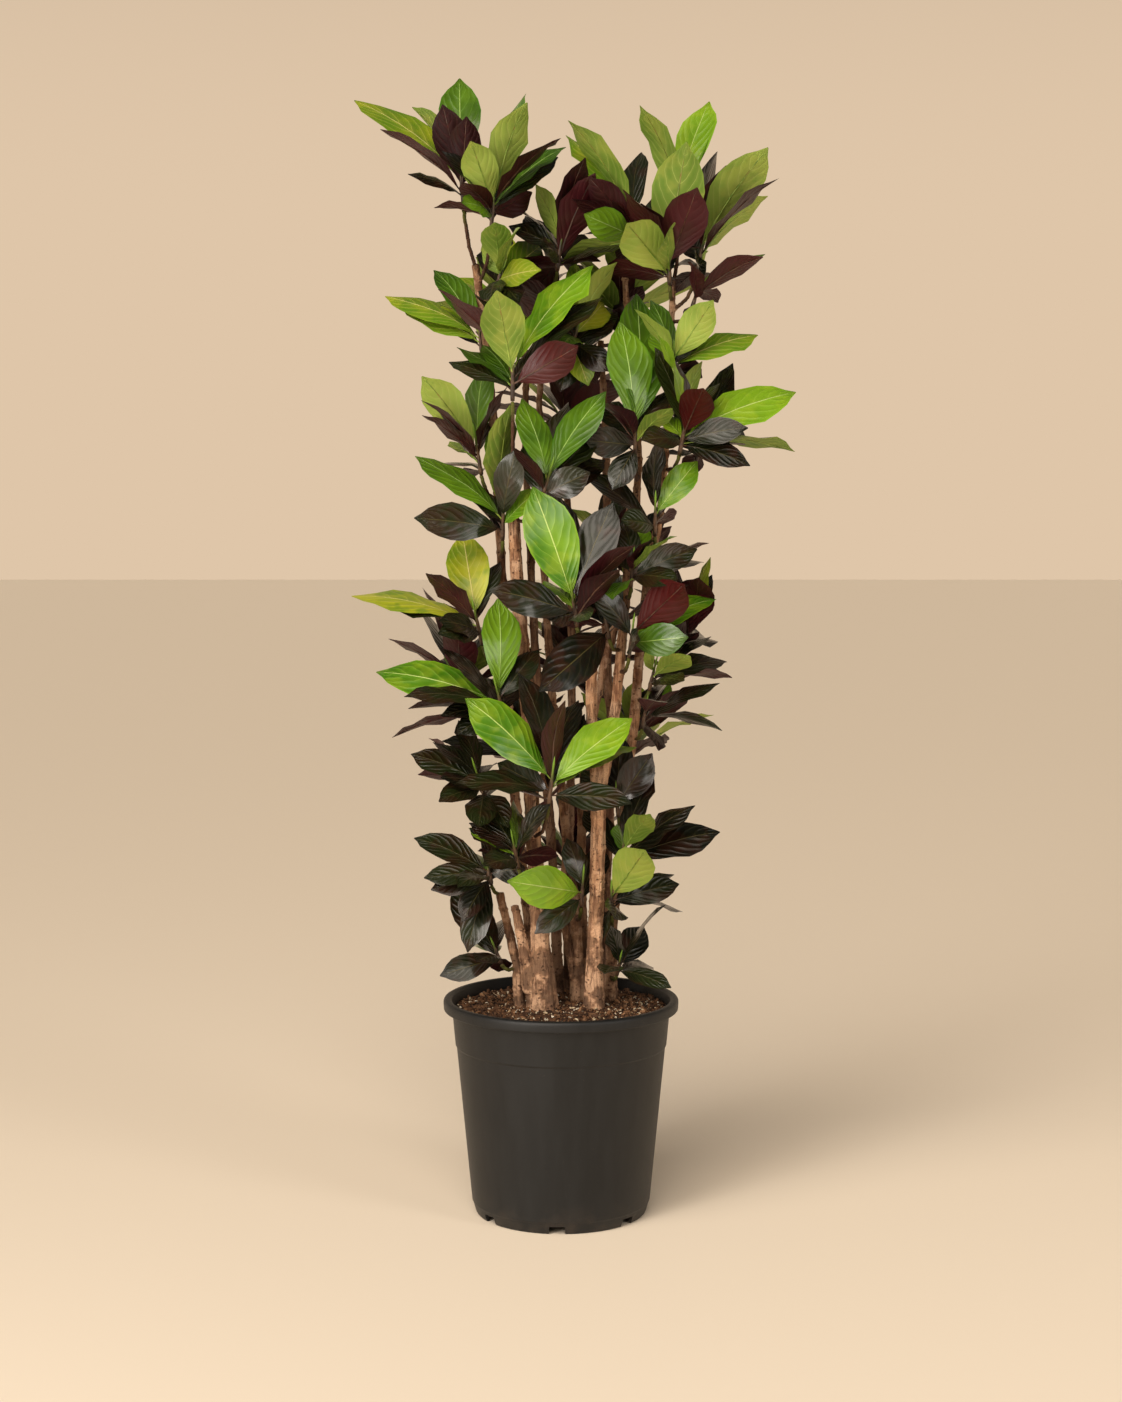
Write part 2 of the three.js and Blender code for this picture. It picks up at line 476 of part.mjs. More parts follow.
function runSolid({ points, radii, sides }, extra = 0) {
  // The run's rod, or one that is thicker and longer by the extra.
  const [start, next] = points;
  const [before, end] = points.slice(-2);
  const longer = [
    start.clone().addScaledVector(start.clone().sub(next).normalize(), extra),
    ...points.slice(1, -1),
    end.clone().addScaledVector(end.clone().sub(before).normalize(), extra),
  ];
  return rod(longer, radii.map((radius) => radius + extra), sides);
}

function standRun(node, { points, radii, sides }) {
  for (let i = 0; i < points.length - 1; i++) {
    stand(node, rod([points[i], points[i + 1]], [radii[i], radii[i + 1]], sides));
  }
}

function onPath(path, down) {
  // The place on a stem at a height of the front view.
  let i = 1;
  while (i < path.length - 1 && path[i][1] > down) i++;
  const [low, high] = [path[i - 1], path[i]];
  const share = THREE.MathUtils.clamp((low[1] - down) / (low[1] - high[1]), 0, 1);
  return placed(low.map((value, axis) => between([value, high[axis]], share)));
}

function shootOf(spray) {
  // A shoot stands more upright than the way from its stem to its tip.
  const { path, forks } = stems[spray.stem];
  const start = onPath(spray.fork === undefined ? path : forks[spray.fork].path, spray.from);
  const { azimuth, reach, rise } = spray;
  const tip = spray.tip ? placed(spray.tip) : start.clone().add(outward(azimuth, reach, rise));
  const way = tip.clone().sub(start).normalize().addScaledVector(up, shoot.uprightness).normalize();
  const foot = tip.clone().addScaledVector(way, -Math.min(shoot.length, 0.55 * tip.distanceTo(start)));
  return { start, foot, tip, way };
}

function outward(azimuth, reach, rise) {
  // A vector towards an azimuth, which is 0 straight away from the eye and 90 to its right.
  const angle = THREE.MathUtils.degToRad(azimuth);
  return new THREE.Vector3(Math.sin(angle) * reach, Math.cos(angle) * reach, rise);
}

function twigRun({ start, foot, way }, [across, away]) {
  const far = foot.distanceTo(start);
  const middle = foot.clone().addScaledVector(way, -0.55 * far).add(new THREE.Vector3(across, away, 0));
  const straight = foot.clone().addScaledVector(way, -0.15 * far);
  const end = foot.clone().addScaledVector(way, -gap);
  const points = [...new THREE.QuadraticBezierCurve3(start, middle, straight).getPoints(2), end];
  return { points, radii: points.map((_, i) => between([twig.foot, twig.tip], i / 3)), sides: twig.sides };
}

// ---- leaves ----
function leafFrame(root, tip, width, tone, facing, share, roll) {
  // The side vector points to the leaf's right edge, and the face vector out of its upper side.
  const along = tip.clone().sub(root).normalize();
  const toEye = eye.clone().sub(root).normalize();
  const flat = along.clone().cross(toEye).normalize();
  const deep = along.clone().cross(flat);
  const tilt = Math.acos(Math.min(1, share));
  const [first, second] = [tilt, -tilt].map((angle) => {
    const side = flat.clone().multiplyScalar(facing * Math.cos(angle + roll));
    side.addScaledVector(deep, facing * Math.sin(angle + roll));
    return { side, face: side.clone().cross(along) };
  });
  const leaf = { root, tip, along, width, tone, length: tip.distanceTo(root) };
  return { ...leaf, ...(first.face.z >= second.face.z ? first : second) };
}

function seenLeaf(spray, { foot, tip: top }, [across, down, wide, tone, lean = 0], way) {
  // A leaf whose tip and width are known in the front view. Its length says how far it leans in depth.
  const higher = spray.leaves.filter((other) => other[1] > down).length;
  const root = foot.clone().lerp(top, between(shoot.seenRoots, higher / spray.leaves.length));
  const flat = placed([across, down, root.y]).distanceTo(root);
  const broad = (wide * view.distance) / view.focal;
  const length = Math.max(1.04 * flat, broad / blade.broadest, blade.shortest);
  const under = undersides.includes(tone);
  const nearer = Math.sqrt(length ** 2 - flat ** 2) * (under === down < spray.tip[1] ? 1 : -1);
  const tip = placed([across, down, root.y - nearer + lean + way.lean]);
  const width = Math.max(blade.slender * length, broad);
  return leafFrame(root, tip, width, tone, under ? -1 : 1, broad / width, way.roll);
}

function hiddenLeaf({ foot, tip: top }, { azimuth, rise, roll, length, share, tone }, way) {
  const lift = THREE.MathUtils.degToRad(rise + way.lift);
  const along = outward(azimuth + way.turn, Math.cos(lift), Math.sin(lift));
  const root = foot.clone().lerp(top, share);
  const side = along.clone().cross(up).normalize().applyAxisAngle(along, THREE.MathUtils.degToRad(roll));
  const tip = root.clone().addScaledVector(along, length);
  const face = side.clone().cross(along);
  return { root, tip, along, side, face, width: blade.slender * length, tone, length };
}

function leafSolid({ root, along, side, face, length, width }, sections, { from = 0, extra = 0 } = {}) {
  // An arched blade, flat above with a rib below: each section has a right edge, the rib and a left edge.
  const positions = [];
  const point = (share, right, above) => {
    const bow = blade.arch * length * 4 * share * (1 - share);
    const place = root.clone().addScaledVector(along, share * length).addScaledVector(side, right);
    place.addScaledVector(face, bow + above);
    positions.push(place.x, place.y, place.z);
  };
  const rings = sections.filter(([share]) => share > from);
  if (from > 0) rings.unshift([from, 0.5]);
  for (const [share, wide] of rings) {
    const half = (wide * width) / 2 + extra;
    point(share, half, blade.rib / 2 + extra);
    point(share, 0, -blade.rib - extra);
    point(share, -half, blade.rib / 2 + extra);
  }
  point(1 + extra / length, 0, 0);
  point(from > 0 ? from : -blade.heel / length, 0, 0);
  const last = (rings.length - 1) * 3;
  const [tip, heel] = [last + 3, last + 4];
  const triangles = [];
  for (let i = 0; i < 3; i++) triangles.push(heel, (i + 1) % 3, i, last + i, last + ((i + 1) % 3), tip);
  for (let i = 0; i < last; i += 3) {
    triangles.push(i, i + 1, i + 4, i, i + 4, i + 3, i + 1, i + 2, i + 4, i + 2, i + 5, i + 4);
    triangles.push(i + 2, i, i + 5, i, i + 3, i + 5);
  }
  return solidOf(geometryOf(positions, triangles));
}

// ---- growing the plant ----
const stemSolids = {};
const stemHoles = [];
for (const [name, { path, radii, forks = [] }] of Object.entries(stems)) {
  const runs = [stemRun(path, radii, true), ...forks.map((fork) => stemRun(fork.path, fork.radii, false))];
  stemSolids[name] = runs.map((run) => runSolid(run)).reduce((whole, part) => whole.add(part));
  stemHoles.push(runSolid(runs[0], gap));
  for (const run of runs) standRun(name, run);
}

function growTwig(carrier, plan) {
  // The first bend that keeps the twig clear of the other stems is taken.
  const runs = twig.bends.map((bend) => twigRun(plan, bend));
  const run = runs.find((each) => !meets(runSolid(each, gap), ({ node }) => node !== carrier));
  standRun(carrier, run);
  stemSolids[carrier] = stemSolids[carrier].add(runSolid(run));
}

const growing = [
  ...Object.entries(sprays),
  ...backSprays.map((spray, i) => [`back_${i + 1}`, spray]),
].map(([name, spray], index) => ({ name, spray, index, plan: shootOf(spray), grown: [] }));
for (const { spray, plan } of growing) growTwig(spray.stem, plan);
for (const each of growing) {
  each.solid = rod([each.plan.foot, each.plan.tip], [shoot.foot, 0], shoot.sides);
  stand(each.name, each.solid);
}

function growLeaf(each, leaves, sections, mayCross) {
  // The first of a leaf's places that is clear is taken. A seen leaf may cross others of its own spray.
  const clearOfOthers = leaves.filter((leaf) =>
    !meets(leafSolid(leaf, sections, { extra: gap }), ({ node }) => node !== each.name));
  const ownLeaf = ({ node, loose }) => node === each.name && loose;
  const free = (leaf, extra) => leafSolid(leaf, sections, { from: blade.free, extra });
  const clear = clearOfOthers.find((leaf) => !meets(free(leaf, gap), ownLeaf));
  const leaf = clear ?? (mayCross ? clearOfOthers[0] : undefined);
  if (!leaf) return;
  const whole = leafSolid(leaf, sections);
  each.grown.push(leaf.tone);
  each.solid = each.solid.add(whole);
  stand(each.name, whole);
  stand(each.name, free(leaf, 0), true);
}

for (const each of growing) {
  for (const spec of each.spray.leaves ?? []) {
    const sections = spec[2] < blade.plainBelow ? blade.plain : blade.full;
    growLeaf(each, seenWays.map((way) => seenLeaf(each.spray, each.plan, spec, way)), sections, true);
  }
}

function hiddenTone(height, key) {
  // Young lime leaves near the top, near-black ones lower down.
  const young = THREE.MathUtils.clamp((height - hidden.youngFrom) / hidden.youngOver, 0, 1);
  if (draw(key, 3) > between(hidden.youngShare, young)) return "dark";
  return ["lime", "green", "yellow"][Math.floor(draw(key, 5) * 3)];
}

function fitsOutline({ tip }) {
  const ahead = tip.clone().sub(eye);
  const far = ahead.dot(lookAhead);
  const across = view.across + (view.focal * ahead.x) / far;
  const down = view.down - (view.focal * ahead.dot(lookUp)) / far;
  if (down < outline[0][0] || down > outline.at(-1)[0]) return false;
  const i = Math.max(1, outline.findIndex(([row]) => row >= down));
  const share = (down - outline[i - 1][0]) / (outline[i][0] - outline[i - 1][0]);
  const [left, right] = [1, 2].map((edge) => between([outline[i - 1][edge], outline[i][edge]], share));
  return across > left + hidden.margin && across < right - hidden.margin;
}

function hiddenFacts({ index, spray, plan }, k, count) {
  const key = index * 40 + k;
  const share = (k + 0.5) / count;
  const facts = { length: between(hidden.length, draw(key, 4)), tone: hiddenTone(plan.tip.z, key) };
  facts.roll = hidden.roll * (draw(key, 7) - 0.5);
  if (spray.leaves) {
    facts.azimuth = hidden.spread * (2 * share - 1) + hidden.wander * (draw(key, 1) - 0.5);
    facts.rise = between(hidden.rise, draw(key, 2));
    facts.share = between(shoot.hiddenRoots, share);
  } else {
    facts.azimuth = spray.azimuth + k * hidden.turn;
    facts.rise = between(hidden.backRise, (k + draw(key, 2)) / count);
    facts.share = between(hidden.backRoots, share);
  }
  return facts;
}

for (const each of growing) {
  const count = each.spray.behind ?? (each.spray.leaves ? hidden.perShoot : hidden.perBackShoot);
  for (let k = 0; k < count; k++) {
    const facts = hiddenFacts(each, k, count);
    const leaves = hidden.ways.map((way) => hiddenLeaf(each.plan, facts, way)).filter(fitsOutline);
    growLeaf(each, leaves, blade.plain, false);
  }
}

function mainTone(grown) {
  const count = (tone) => grown.filter((other) => other === tone).length;
  return grown.reduce((most, tone) => (count(tone) > count(most) ? tone : most));
}

const croton = new THREE.Group();
croton.add(meshOf("pot", makePot(), potFinish));
croton.add(meshOf("soil", makeSoil(stemHoles), soilFinish));
for (const [name, solid] of Object.entries(stemSolids)) croton.add(meshOf(name, solid, barkFinish));
for (const { name, solid, grown } of growing) {
  croton.add(meshOf(`spray_${name}`, solid, leafFinishes[mainTone(grown)]));
}

export default croton;
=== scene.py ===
# A potted croton in metres: +Z up, the floor at z = 0, the plant's front towards -Y.
# The CAD nodes give every stem, shoot and leaf its place; this script gives them their looks.
import json
import math
import random

import bmesh
import bpy
from mathutils import Matrix, Vector, noise
from mathutils.bvhtree import BVHTree


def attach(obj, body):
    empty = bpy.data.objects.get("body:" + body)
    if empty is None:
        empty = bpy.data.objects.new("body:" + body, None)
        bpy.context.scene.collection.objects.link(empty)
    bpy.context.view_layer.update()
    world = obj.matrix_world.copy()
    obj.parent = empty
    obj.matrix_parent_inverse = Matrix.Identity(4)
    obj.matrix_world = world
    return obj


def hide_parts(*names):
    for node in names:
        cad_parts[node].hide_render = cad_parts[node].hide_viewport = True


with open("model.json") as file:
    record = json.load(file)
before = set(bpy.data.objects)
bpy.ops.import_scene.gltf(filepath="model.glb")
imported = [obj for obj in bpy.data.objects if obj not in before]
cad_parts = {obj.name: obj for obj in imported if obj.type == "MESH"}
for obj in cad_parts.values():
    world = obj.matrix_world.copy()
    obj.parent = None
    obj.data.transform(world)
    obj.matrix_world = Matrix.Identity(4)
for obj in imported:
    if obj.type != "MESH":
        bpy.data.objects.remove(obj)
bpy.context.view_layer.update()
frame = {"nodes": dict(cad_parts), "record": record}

nodes = frame["nodes"]
slots = {part["node"]: part["material_slot"] for part in frame["record"]["subparts"]}

# The front view: an image of 1122 x 1402 units taken from straight ahead of the pot.
frontView = {
    "height": 1402, "middle": (560.5, 701), "focal": 2310, "eye": (0, -3.1, 0.95), "pitch": 4.65,
    "sensor": 24, "farthest": 60,
}


def inFrontView(point):
    # The place of a point in the front view, in whole units: across and down.
    pitch = math.radians(frontView["pitch"])
    away = Vector(point) - Vector(frontView["eye"])
    ahead = Vector((0, math.cos(pitch), -math.sin(pitch)))
    up = Vector((0, math.sin(pitch), math.cos(pitch)))
    scale = frontView["focal"] / away.dot(ahead)
    across, down = frontView["middle"]
    return round(across + away.x * scale), round(down - away.dot(up) * scale)


def between(low, high, share):
    return low + (high - low) * share


def eased(value, low, high):
    share = min(1, max(0, (value - low) / (high - low)))
    return share * share * (3 - 2 * share)


def deselect():
    bpy.ops.object.select_all(action="DESELECT")


def choose(piece):
    deselect()
    piece.select_set(True)
    bpy.context.view_layer.objects.active = piece


def settle():
    # Puts the active object's place, turn and size into its mesh.
    bpy.ops.object.transform_apply(location=True, rotation=True, scale=True)


def added(shape, **settings):
    deselect()
    getattr(bpy.ops.mesh, f"primitive_{shape}_add")(**settings)
    return bpy.context.object


def linked(name, mesh):
    piece = bpy.data.objects.new(name, mesh)
    bpy.context.scene.collection.objects.link(piece)
    return piece


def editAll():
    bpy.ops.object.mode_set(mode="EDIT")
    bpy.ops.mesh.select_all(action="SELECT")


def leaveEditing():
    bpy.ops.object.mode_set(mode="OBJECT")


def setValues(mesh, name, values, domain="FACE"):
    mesh.attributes.new(name, "FLOAT", domain).data.foreach_set("value", values)


def applyModifier(piece, kind, **settings):
    choose(piece)
    modifier = piece.modifiers.new(kind.lower(), kind)
    for key, value in settings.items():
        setattr(modifier, key, value)
    bpy.ops.object.modifier_apply(modifier=modifier.name)


def shadeSmooth(piece, angle):
    choose(piece)
    bpy.ops.object.shade_smooth_by_angle(angle=math.radians(angle))


def joined(name, pieces):
    choose(pieces[0])
    for piece in pieces:
        piece.select_set(True)
    bpy.ops.object.join()
    pieces[0].name = name
    return pieces[0]


def selectWhere(test):
    # In edit mode, selects the corners of the active mesh that pass the test.
    sheet = bmesh.from_edit_mesh(bpy.context.object.data)
    for corner in sheet.verts:
        corner.select = test(corner.co)
    sheet.select_flush_mode()
    bmesh.update_edit_mesh(bpy.context.object.data)


def finishPiece(piece, *replaced):
    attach(piece, "root")
    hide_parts(*replaced)


def tint(code):
    # A linear colour from a hex code as a colour picker shows it.
    parts = [int(code[i:i + 2], 16) / 255 for i in (1, 3, 5)]
    return (*(part / 12.92 if part <= 0.04045 else ((part + 0.055) / 1.055) ** 2.4 for part in parts), 1)


class Value:
    # A socket in a material. Expressions with it add Math nodes.
    def __init__(self, finish, socket):
        self.finish = finish
        self.socket = socket

    def __add__(self, other):
        return self.finish.maths("ADD", self, other)

    def __sub__(self, other):
        return self.finish.maths("SUBTRACT", self, other)

    def __rsub__(self, other):
        return self.finish.maths("SUBTRACT", other, self)

    def __mul__(self, other):
        return self.finish.maths("MULTIPLY", self, other)

    def __pow__(self, other):
        return self.finish.maths("POWER", self, other)

    def __abs__(self):
        return self.finish.maths("ABSOLUTE", self)

    __radd__ = __add__

    def fraction(self):
        return self.finish.maths("FRACT", self)

    def eased(self, low, high):
        # 0 below the low value and 1 above the high one, or the other way round where low > high.
        ends = (low, high, 0, 1) if low < high else (high, low, 1, 0)
        sockets = dict(zip(("From Min", "From Max", "To Min", "To Max"), ends))
        return self.finish.node(
            "ShaderNodeMapRange", {"interpolation_type": "SMOOTHSTEP"}, {"Value": self, **sockets}
        )


class Finish:
    # A material with one Principled shader.
    def __init__(self, name, fixed):
        self.material = bpy.data.materials.new(name)
        self.material.use_nodes = True
        self.nodes = self.material.node_tree.nodes
        self.links = self.material.node_tree.links
        self.shader = self.nodes["Principled BSDF"]
        for socket, value in fixed.items():
            self.shade(socket, value)

    def feed(self, socket, value):
        if isinstance(value, Value):
            self.links.new(value.socket, socket)
        else:
            socket.default_value = value

    def shade(self, socket, value):
        self.feed(self.shader.inputs[socket], value)

    def node(self, kind, settings=None, sockets=None, output=0):
        node = self.nodes.new(kind)
        for key, value in (settings or {}).items():
            if key == "stops":
                node.color_ramp.elements[0].position, node.color_ramp.elements[0].color = value[0]
                node.color_ramp.elements[1].position, node.color_ramp.elements[1].color = value[-1]
                for place, colour in value[1:-1]:
                    node.color_ramp.elements.new(place).color = colour
            else:
                setattr(node, key, value)
        for key, value in (sockets or {}).items():
            self.feed(node.inputs[key], value)
        return Value(self, node.outputs[output])

    def maths(self, operation, *values):
        return self.node("ShaderNodeMath", {"operation": operation}, dict(enumerate(values)))

    def coords(self):
        return self.node("ShaderNodeTexCoord", output="Object")

    def place(self, stretch=(1, 1, 1)):
        return self.node("ShaderNodeMapping", sockets={"Vector": self.coords(), "Scale": stretch})

    def cells(self, place, scale):
        sockets = {"Vector": place, "Scale": scale}
        return self.node("ShaderNodeTexVoronoi", sockets=sockets, output="Distance")

    def noise(self, place, scale, detail=3, roughness=0.55):
        sockets = {"Vector": place, "Scale": scale, "Detail": detail, "Roughness": roughness}
        return self.node("ShaderNodeTexNoise", sockets=sockets)

    def mixed(self, factor, first, second):
        sockets = {0: factor, 6: first, 7: second}
        return self.node("ShaderNodeMix", {"data_type": "RGBA"}, sockets, output=2)

    def over(self, colour, share, layer):
        # The colour with a layer of another over it. The layer is a hex code and its strength.
        code, strength = layer
        return self.mixed(share * strength, colour, tint(code))

    def axis(self, vector, name):
        return self.node("ShaderNodeSeparateXYZ", sockets={0: vector}, output=name)

    def attribute(self, name):
        return self.node("ShaderNodeAttribute", {"attribute_name": name}, output="Fac")

    def bump(self, height, distance):
        sockets = {"Height": height, "Distance": distance, "Strength": 1.0}
        self.shade("Normal", self.node("ShaderNodeBump", sockets=sockets))


# The leaves' veins, and the colours and sheen of their sides and stalks.
veins = {
    "pairs": 11, "sweep": 0.24, "sweepPower": 1.5, "width": 0.12, "ends": (0.95, 0.7), "strength": 1.5,
    "wander": 0.7, "wanderScale": 30, "seedShift": 7, "haze": 0.6,
    "ribWidth": 0.038, "ribCore": 0.3, "ribEnds": (1.02, 0.75), "ribStrength": 0.8,
}
leafSurface = {
    "specular": 0.3, "coatRoughness": 0.16, "patchScale": 14, "patchEnds": (0.25, 0.75), "seedTone": 0.6,
    "blotchScale": 34, "blotchEnds": (0.46, 0.64), "edgeFrom": 0.9, "edgeStrength": 0.5,
    "patchRough": 0.1, "veinRough": 0.06, "smoother": 0.05, "patchRelief": 1.6, "ribRelief": 0.8,
}
uppers = {
    "limeUpper": {
        "deep": "#3f6f0a", "bright": "#749c18", "vein": "#a9ca4c", "rib": "#c4da7c", "edge": "#86b222",
        "blotch": "#b8c832", "blotched": 0.2, "veined": 0.16, "rough": 0.36, "coat": 0.32, "quilt": 0.0007,
    },
    "yellowUpper": {
        "deep": "#5f8415", "bright": "#a6aa22", "vein": "#dcd468", "rib": "#e6dc88", "edge": "#7f9a1c",
        "blotch": "#4f7c16", "blotched": 0.6, "veined": 0.22, "rough": 0.4, "coat": 0.18, "quilt": 0.0004,
    },
    "greenUpper": {
        "deep": "#34540c", "bright": "#658a17", "vein": "#7fae48", "rib": "#a8c86c", "edge": "#3f7a1a",
        "blotch": "#6f9c26", "blotched": 0.14, "veined": 0.15, "rough": 0.32, "coat": 0.4, "quilt": 0.0007,
    },
    "darkUpper": {
        "deep": "#0b0e05", "bright": "#1e260d", "vein": "#3a3c1e", "rib": "#56502c", "edge": "#24140b",
        "blotch": "#33190f", "blotched": 0.6, "veined": 0.16, "rough": 0.33, "coat": 0.5, "quilt": 0.0011,
    },
}
lowers = {
    "paleUnder": {
        "deep": "#648129", "bright": "#90a544", "vein": "#aab45c", "rib": "#96553a", "edge": "#86a03e",
        "blotch": "#adab4c", "blotched": 0.3, "veined": 0.4, "rough": 0.6, "coat": 0.0, "quilt": -0.0004,
    },
    "maroonUnder": {
        "deep": "#240409", "bright": "#3d0e14", "vein": "#521e20", "rib": "#6e362e", "edge": "#2c1214",
        "blotch": "#3a2618", "blotched": 0.35, "veined": 0.3, "rough": 0.5, "coat": 0.05, "quilt": -0.0004,
    },
    "redUnder": {
        "deep": "#2a0304", "bright": "#410607", "vein": "#5a1715", "rib": "#86402f", "edge": "#3a1012",
        "blotch": "#3c1412", "blotched": 0.3, "veined": 0.3, "rough": 0.42, "coat": 0.1, "quilt": -0.0004,
    },
}
stalks = {
    "paleStalk": {"deep": "#5f8420", "bright": "#97ad48"},
    "darkStalk": {"deep": "#2c1c14", "bright": "#5a3c2a"},
    "shoot": {"deep": "#2e1f16", "bright": "#5f4632", "tip": "#6f9426"},
}
stalkSurface = {
    "coat": 0.1, "coatRoughness": 0.3, "streakScale": 160, "stretch": (1, 1, 0.4),
    "streakEnds": (0.35, 0.65), "tipEnds": (0.45, 0.9), "rough": 0.42, "streakRough": 0.15, "relief": 0.0003,
}


def leafFinish(name, look):
    surface = leafSurface
    finish = Finish(name, {
        "Coat Weight": look["coat"], "Coat Roughness": surface["coatRoughness"],
        "Specular IOR Level": surface["specular"],
    })
    uv = finish.node("ShaderNodeUVMap", {"uv_map": "leaf"})
    along = finish.axis(uv, "X")
    across = finish.axis(uv, "Y")
    seed = finish.attribute("seed")
    place = finish.place()
    side = abs(across * 2 - 1)
    wander = finish.noise(place, veins["wanderScale"], detail=2) - 0.5
    phase = (along - side ** veins["sweepPower"] * veins["sweep"]) * veins["pairs"]
    phase = phase + wander * veins["wander"] + seed * veins["seedShift"]
    ridge = abs(phase.fraction() - 0.5) * 2
    vein = ridge.eased(1 - veins["width"], 1) * side.eased(*veins["ends"])
    core = veins["ribCore"] * veins["ribWidth"]
    rib = side.eased(veins["ribWidth"], core) * along.eased(*veins["ribEnds"])
    patches = finish.noise(place, surface["patchScale"], detail=3, roughness=0.5)
    tone = (patches + (seed - 0.5) * surface["seedTone"]).eased(*surface["patchEnds"])
    colour = finish.mixed(tone, tint(look["deep"]), tint(look["bright"]))
    blotches = finish.noise(place, surface["blotchScale"], detail=3, roughness=0.5)
    colour = finish.over(colour, blotches.eased(*surface["blotchEnds"]), (look["blotch"], look["blotched"]))
    nearVein = ridge.eased(0.1, 1) * 0.5 + side.eased(0.5, 0.0) * 0.5
    colour = finish.over(colour, nearVein * look["veined"], (look["vein"], veins["haze"]))
    colour = finish.over(colour, side.eased(surface["edgeFrom"], 1), (look["edge"], surface["edgeStrength"]))
    colour = finish.over(colour, vein * look["veined"], (look["vein"], veins["strength"]))
    finish.shade("Base Color", finish.over(colour, rib, (look["rib"], veins["ribStrength"])))
    rough = look["rough"] + patches * surface["patchRough"] + vein * surface["veinRough"]
    finish.shade("Roughness", rough - surface["smoother"])
    pillow = 1 - ridge ** 2
    height = pillow * side.eased(1, 0.7) * side.eased(0, 0.25) + patches * surface["patchRelief"]
    finish.bump(height - rib * surface["ribRelief"], look["quilt"])
    return finish.material


def stalkFinish(name, look):
    # Its tip is young and green, where the look has a tip colour.
    surface = stalkSurface
    finish = Finish(name, {"Coat Weight": surface["coat"], "Coat Roughness": surface["coatRoughness"]})
    streaks = finish.noise(finish.place(surface["stretch"]), surface["streakScale"], detail=3)
    colour = finish.mixed(streaks.eased(*surface["streakEnds"]), tint(look["deep"]), tint(look["bright"]))
    if "tip" in look:
        along = finish.axis(finish.node("ShaderNodeUVMap", {"uv_map": "leaf"}), "X")
        colour = finish.mixed(along.eased(*surface["tipEnds"]), colour, tint(look["tip"]))
    finish.shade("Base Color", colour)
    finish.shade("Roughness", surface["rough"] + streaks * surface["streakRough"])
    finish.bump(streaks, surface["relief"])
    return finish.material


# Sizes of the CAD leaves and shoots, by which each one is found in its node.
cadBlade = {"arch": 0.07, "ribDrop": 0.00165, "ends": {0.81: 0.66, 0.72: 0.84}, "slack": 0.00005}
cadShoot = {
    "capEdge": 0.0042 * math.sqrt(3), "slack": 2e-5, "onAxis": 0.0001, "longest": 0.0585, "pastRoot": 0.004,
}


def mergedCopy(node):
    sheet = bmesh.new()
    sheet.from_mesh(node.data)
    bmesh.ops.remove_doubles(sheet, verts=sheet.verts, dist=1e-5)
    return sheet


def readLeaf(tip, right, rib, left):
    # A leaf from its tip and its last section, or None where they don't fit.
    middle = (right + left) / 2
    face = (middle - rib).normalized()
    if abs((middle - rib).length - cadBlade["ribDrop"]) > cadBlade["slack"]:
        return None
    bow = (middle - tip).dot(face)
    reach = (tip - middle) + face * bow
    for share, wide in cadBlade["ends"].items():
        length = reach.length / (1 - share)
        expected = cadBlade["arch"] * length * 4 * share * (1 - share) + cadBlade["ribDrop"] / 3
        if abs(expected - bow) < cadBlade["slack"]:
            along = reach.normalized()
            return {
                "root": tip - along * length,
                "tip": tip.copy(),
                "along": along,
                "face": face,
                "side": along.cross(face),
                "length": length,
                "width": (right - left).length / wide,
            }
    return None


def isFoot(face):
    # Whether a face is the three-sided end of a shoot.
    lengths = [edge.calc_length() for edge in face.edges]
    fits = [abs(length - cadShoot["capEdge"]) < cadShoot["slack"] for length in lengths]
    return len(fits) == 3 and all(fits)


def readSpray(node):
    # The shoot's foot and tip, and its leaves: a leaf's tip is a corner where just three faces meet.
    sheet = mergedCopy(node)
    leaves = []
    for corner in sheet.verts:
        if len(corner.link_edges) != 3:
            continue
        ends = [edge.other_vert(corner).co for edge in corner.link_edges]
        for i in range(3):
            leaf = readLeaf(corner.co, ends[i - 1], ends[i], ends[i - 2])
            if leaf:
                leaves.append(leaf)
                break
    cap = next(face for face in sheet.faces if isFoot(face))
    foot = cap.calc_center_median()
    way = -cap.normal
    onAxis = [
        (corner.co - foot).dot(way) for corner in sheet.verts
        if (corner.co - foot).cross(way).length < cadShoot["onAxis"]
    ]
    reach = max((height for height in onAxis if height < cadShoot["longest"]), default=0)
    reach = max(reach, *((leaf["root"] - foot).dot(way) + cadShoot["pastRoot"] for leaf in leaves))
    sheet.free()
    return foot, way, reach, leaves


# The upper side, underside and stalk of each kind of leaf.
leafKinds = {
    "young": ("limeUpper", "paleUnder", "paleStalk"),
    "yellow": ("yellowUpper", "paleUnder", "paleStalk"),
    "green": ("greenUpper", "paleUnder", "paleStalk"),
    "red": ("darkUpper", "redUnder", "darkStalk"),
    "dark": ("darkUpper", "maroonUnder", "darkStalk"),
}
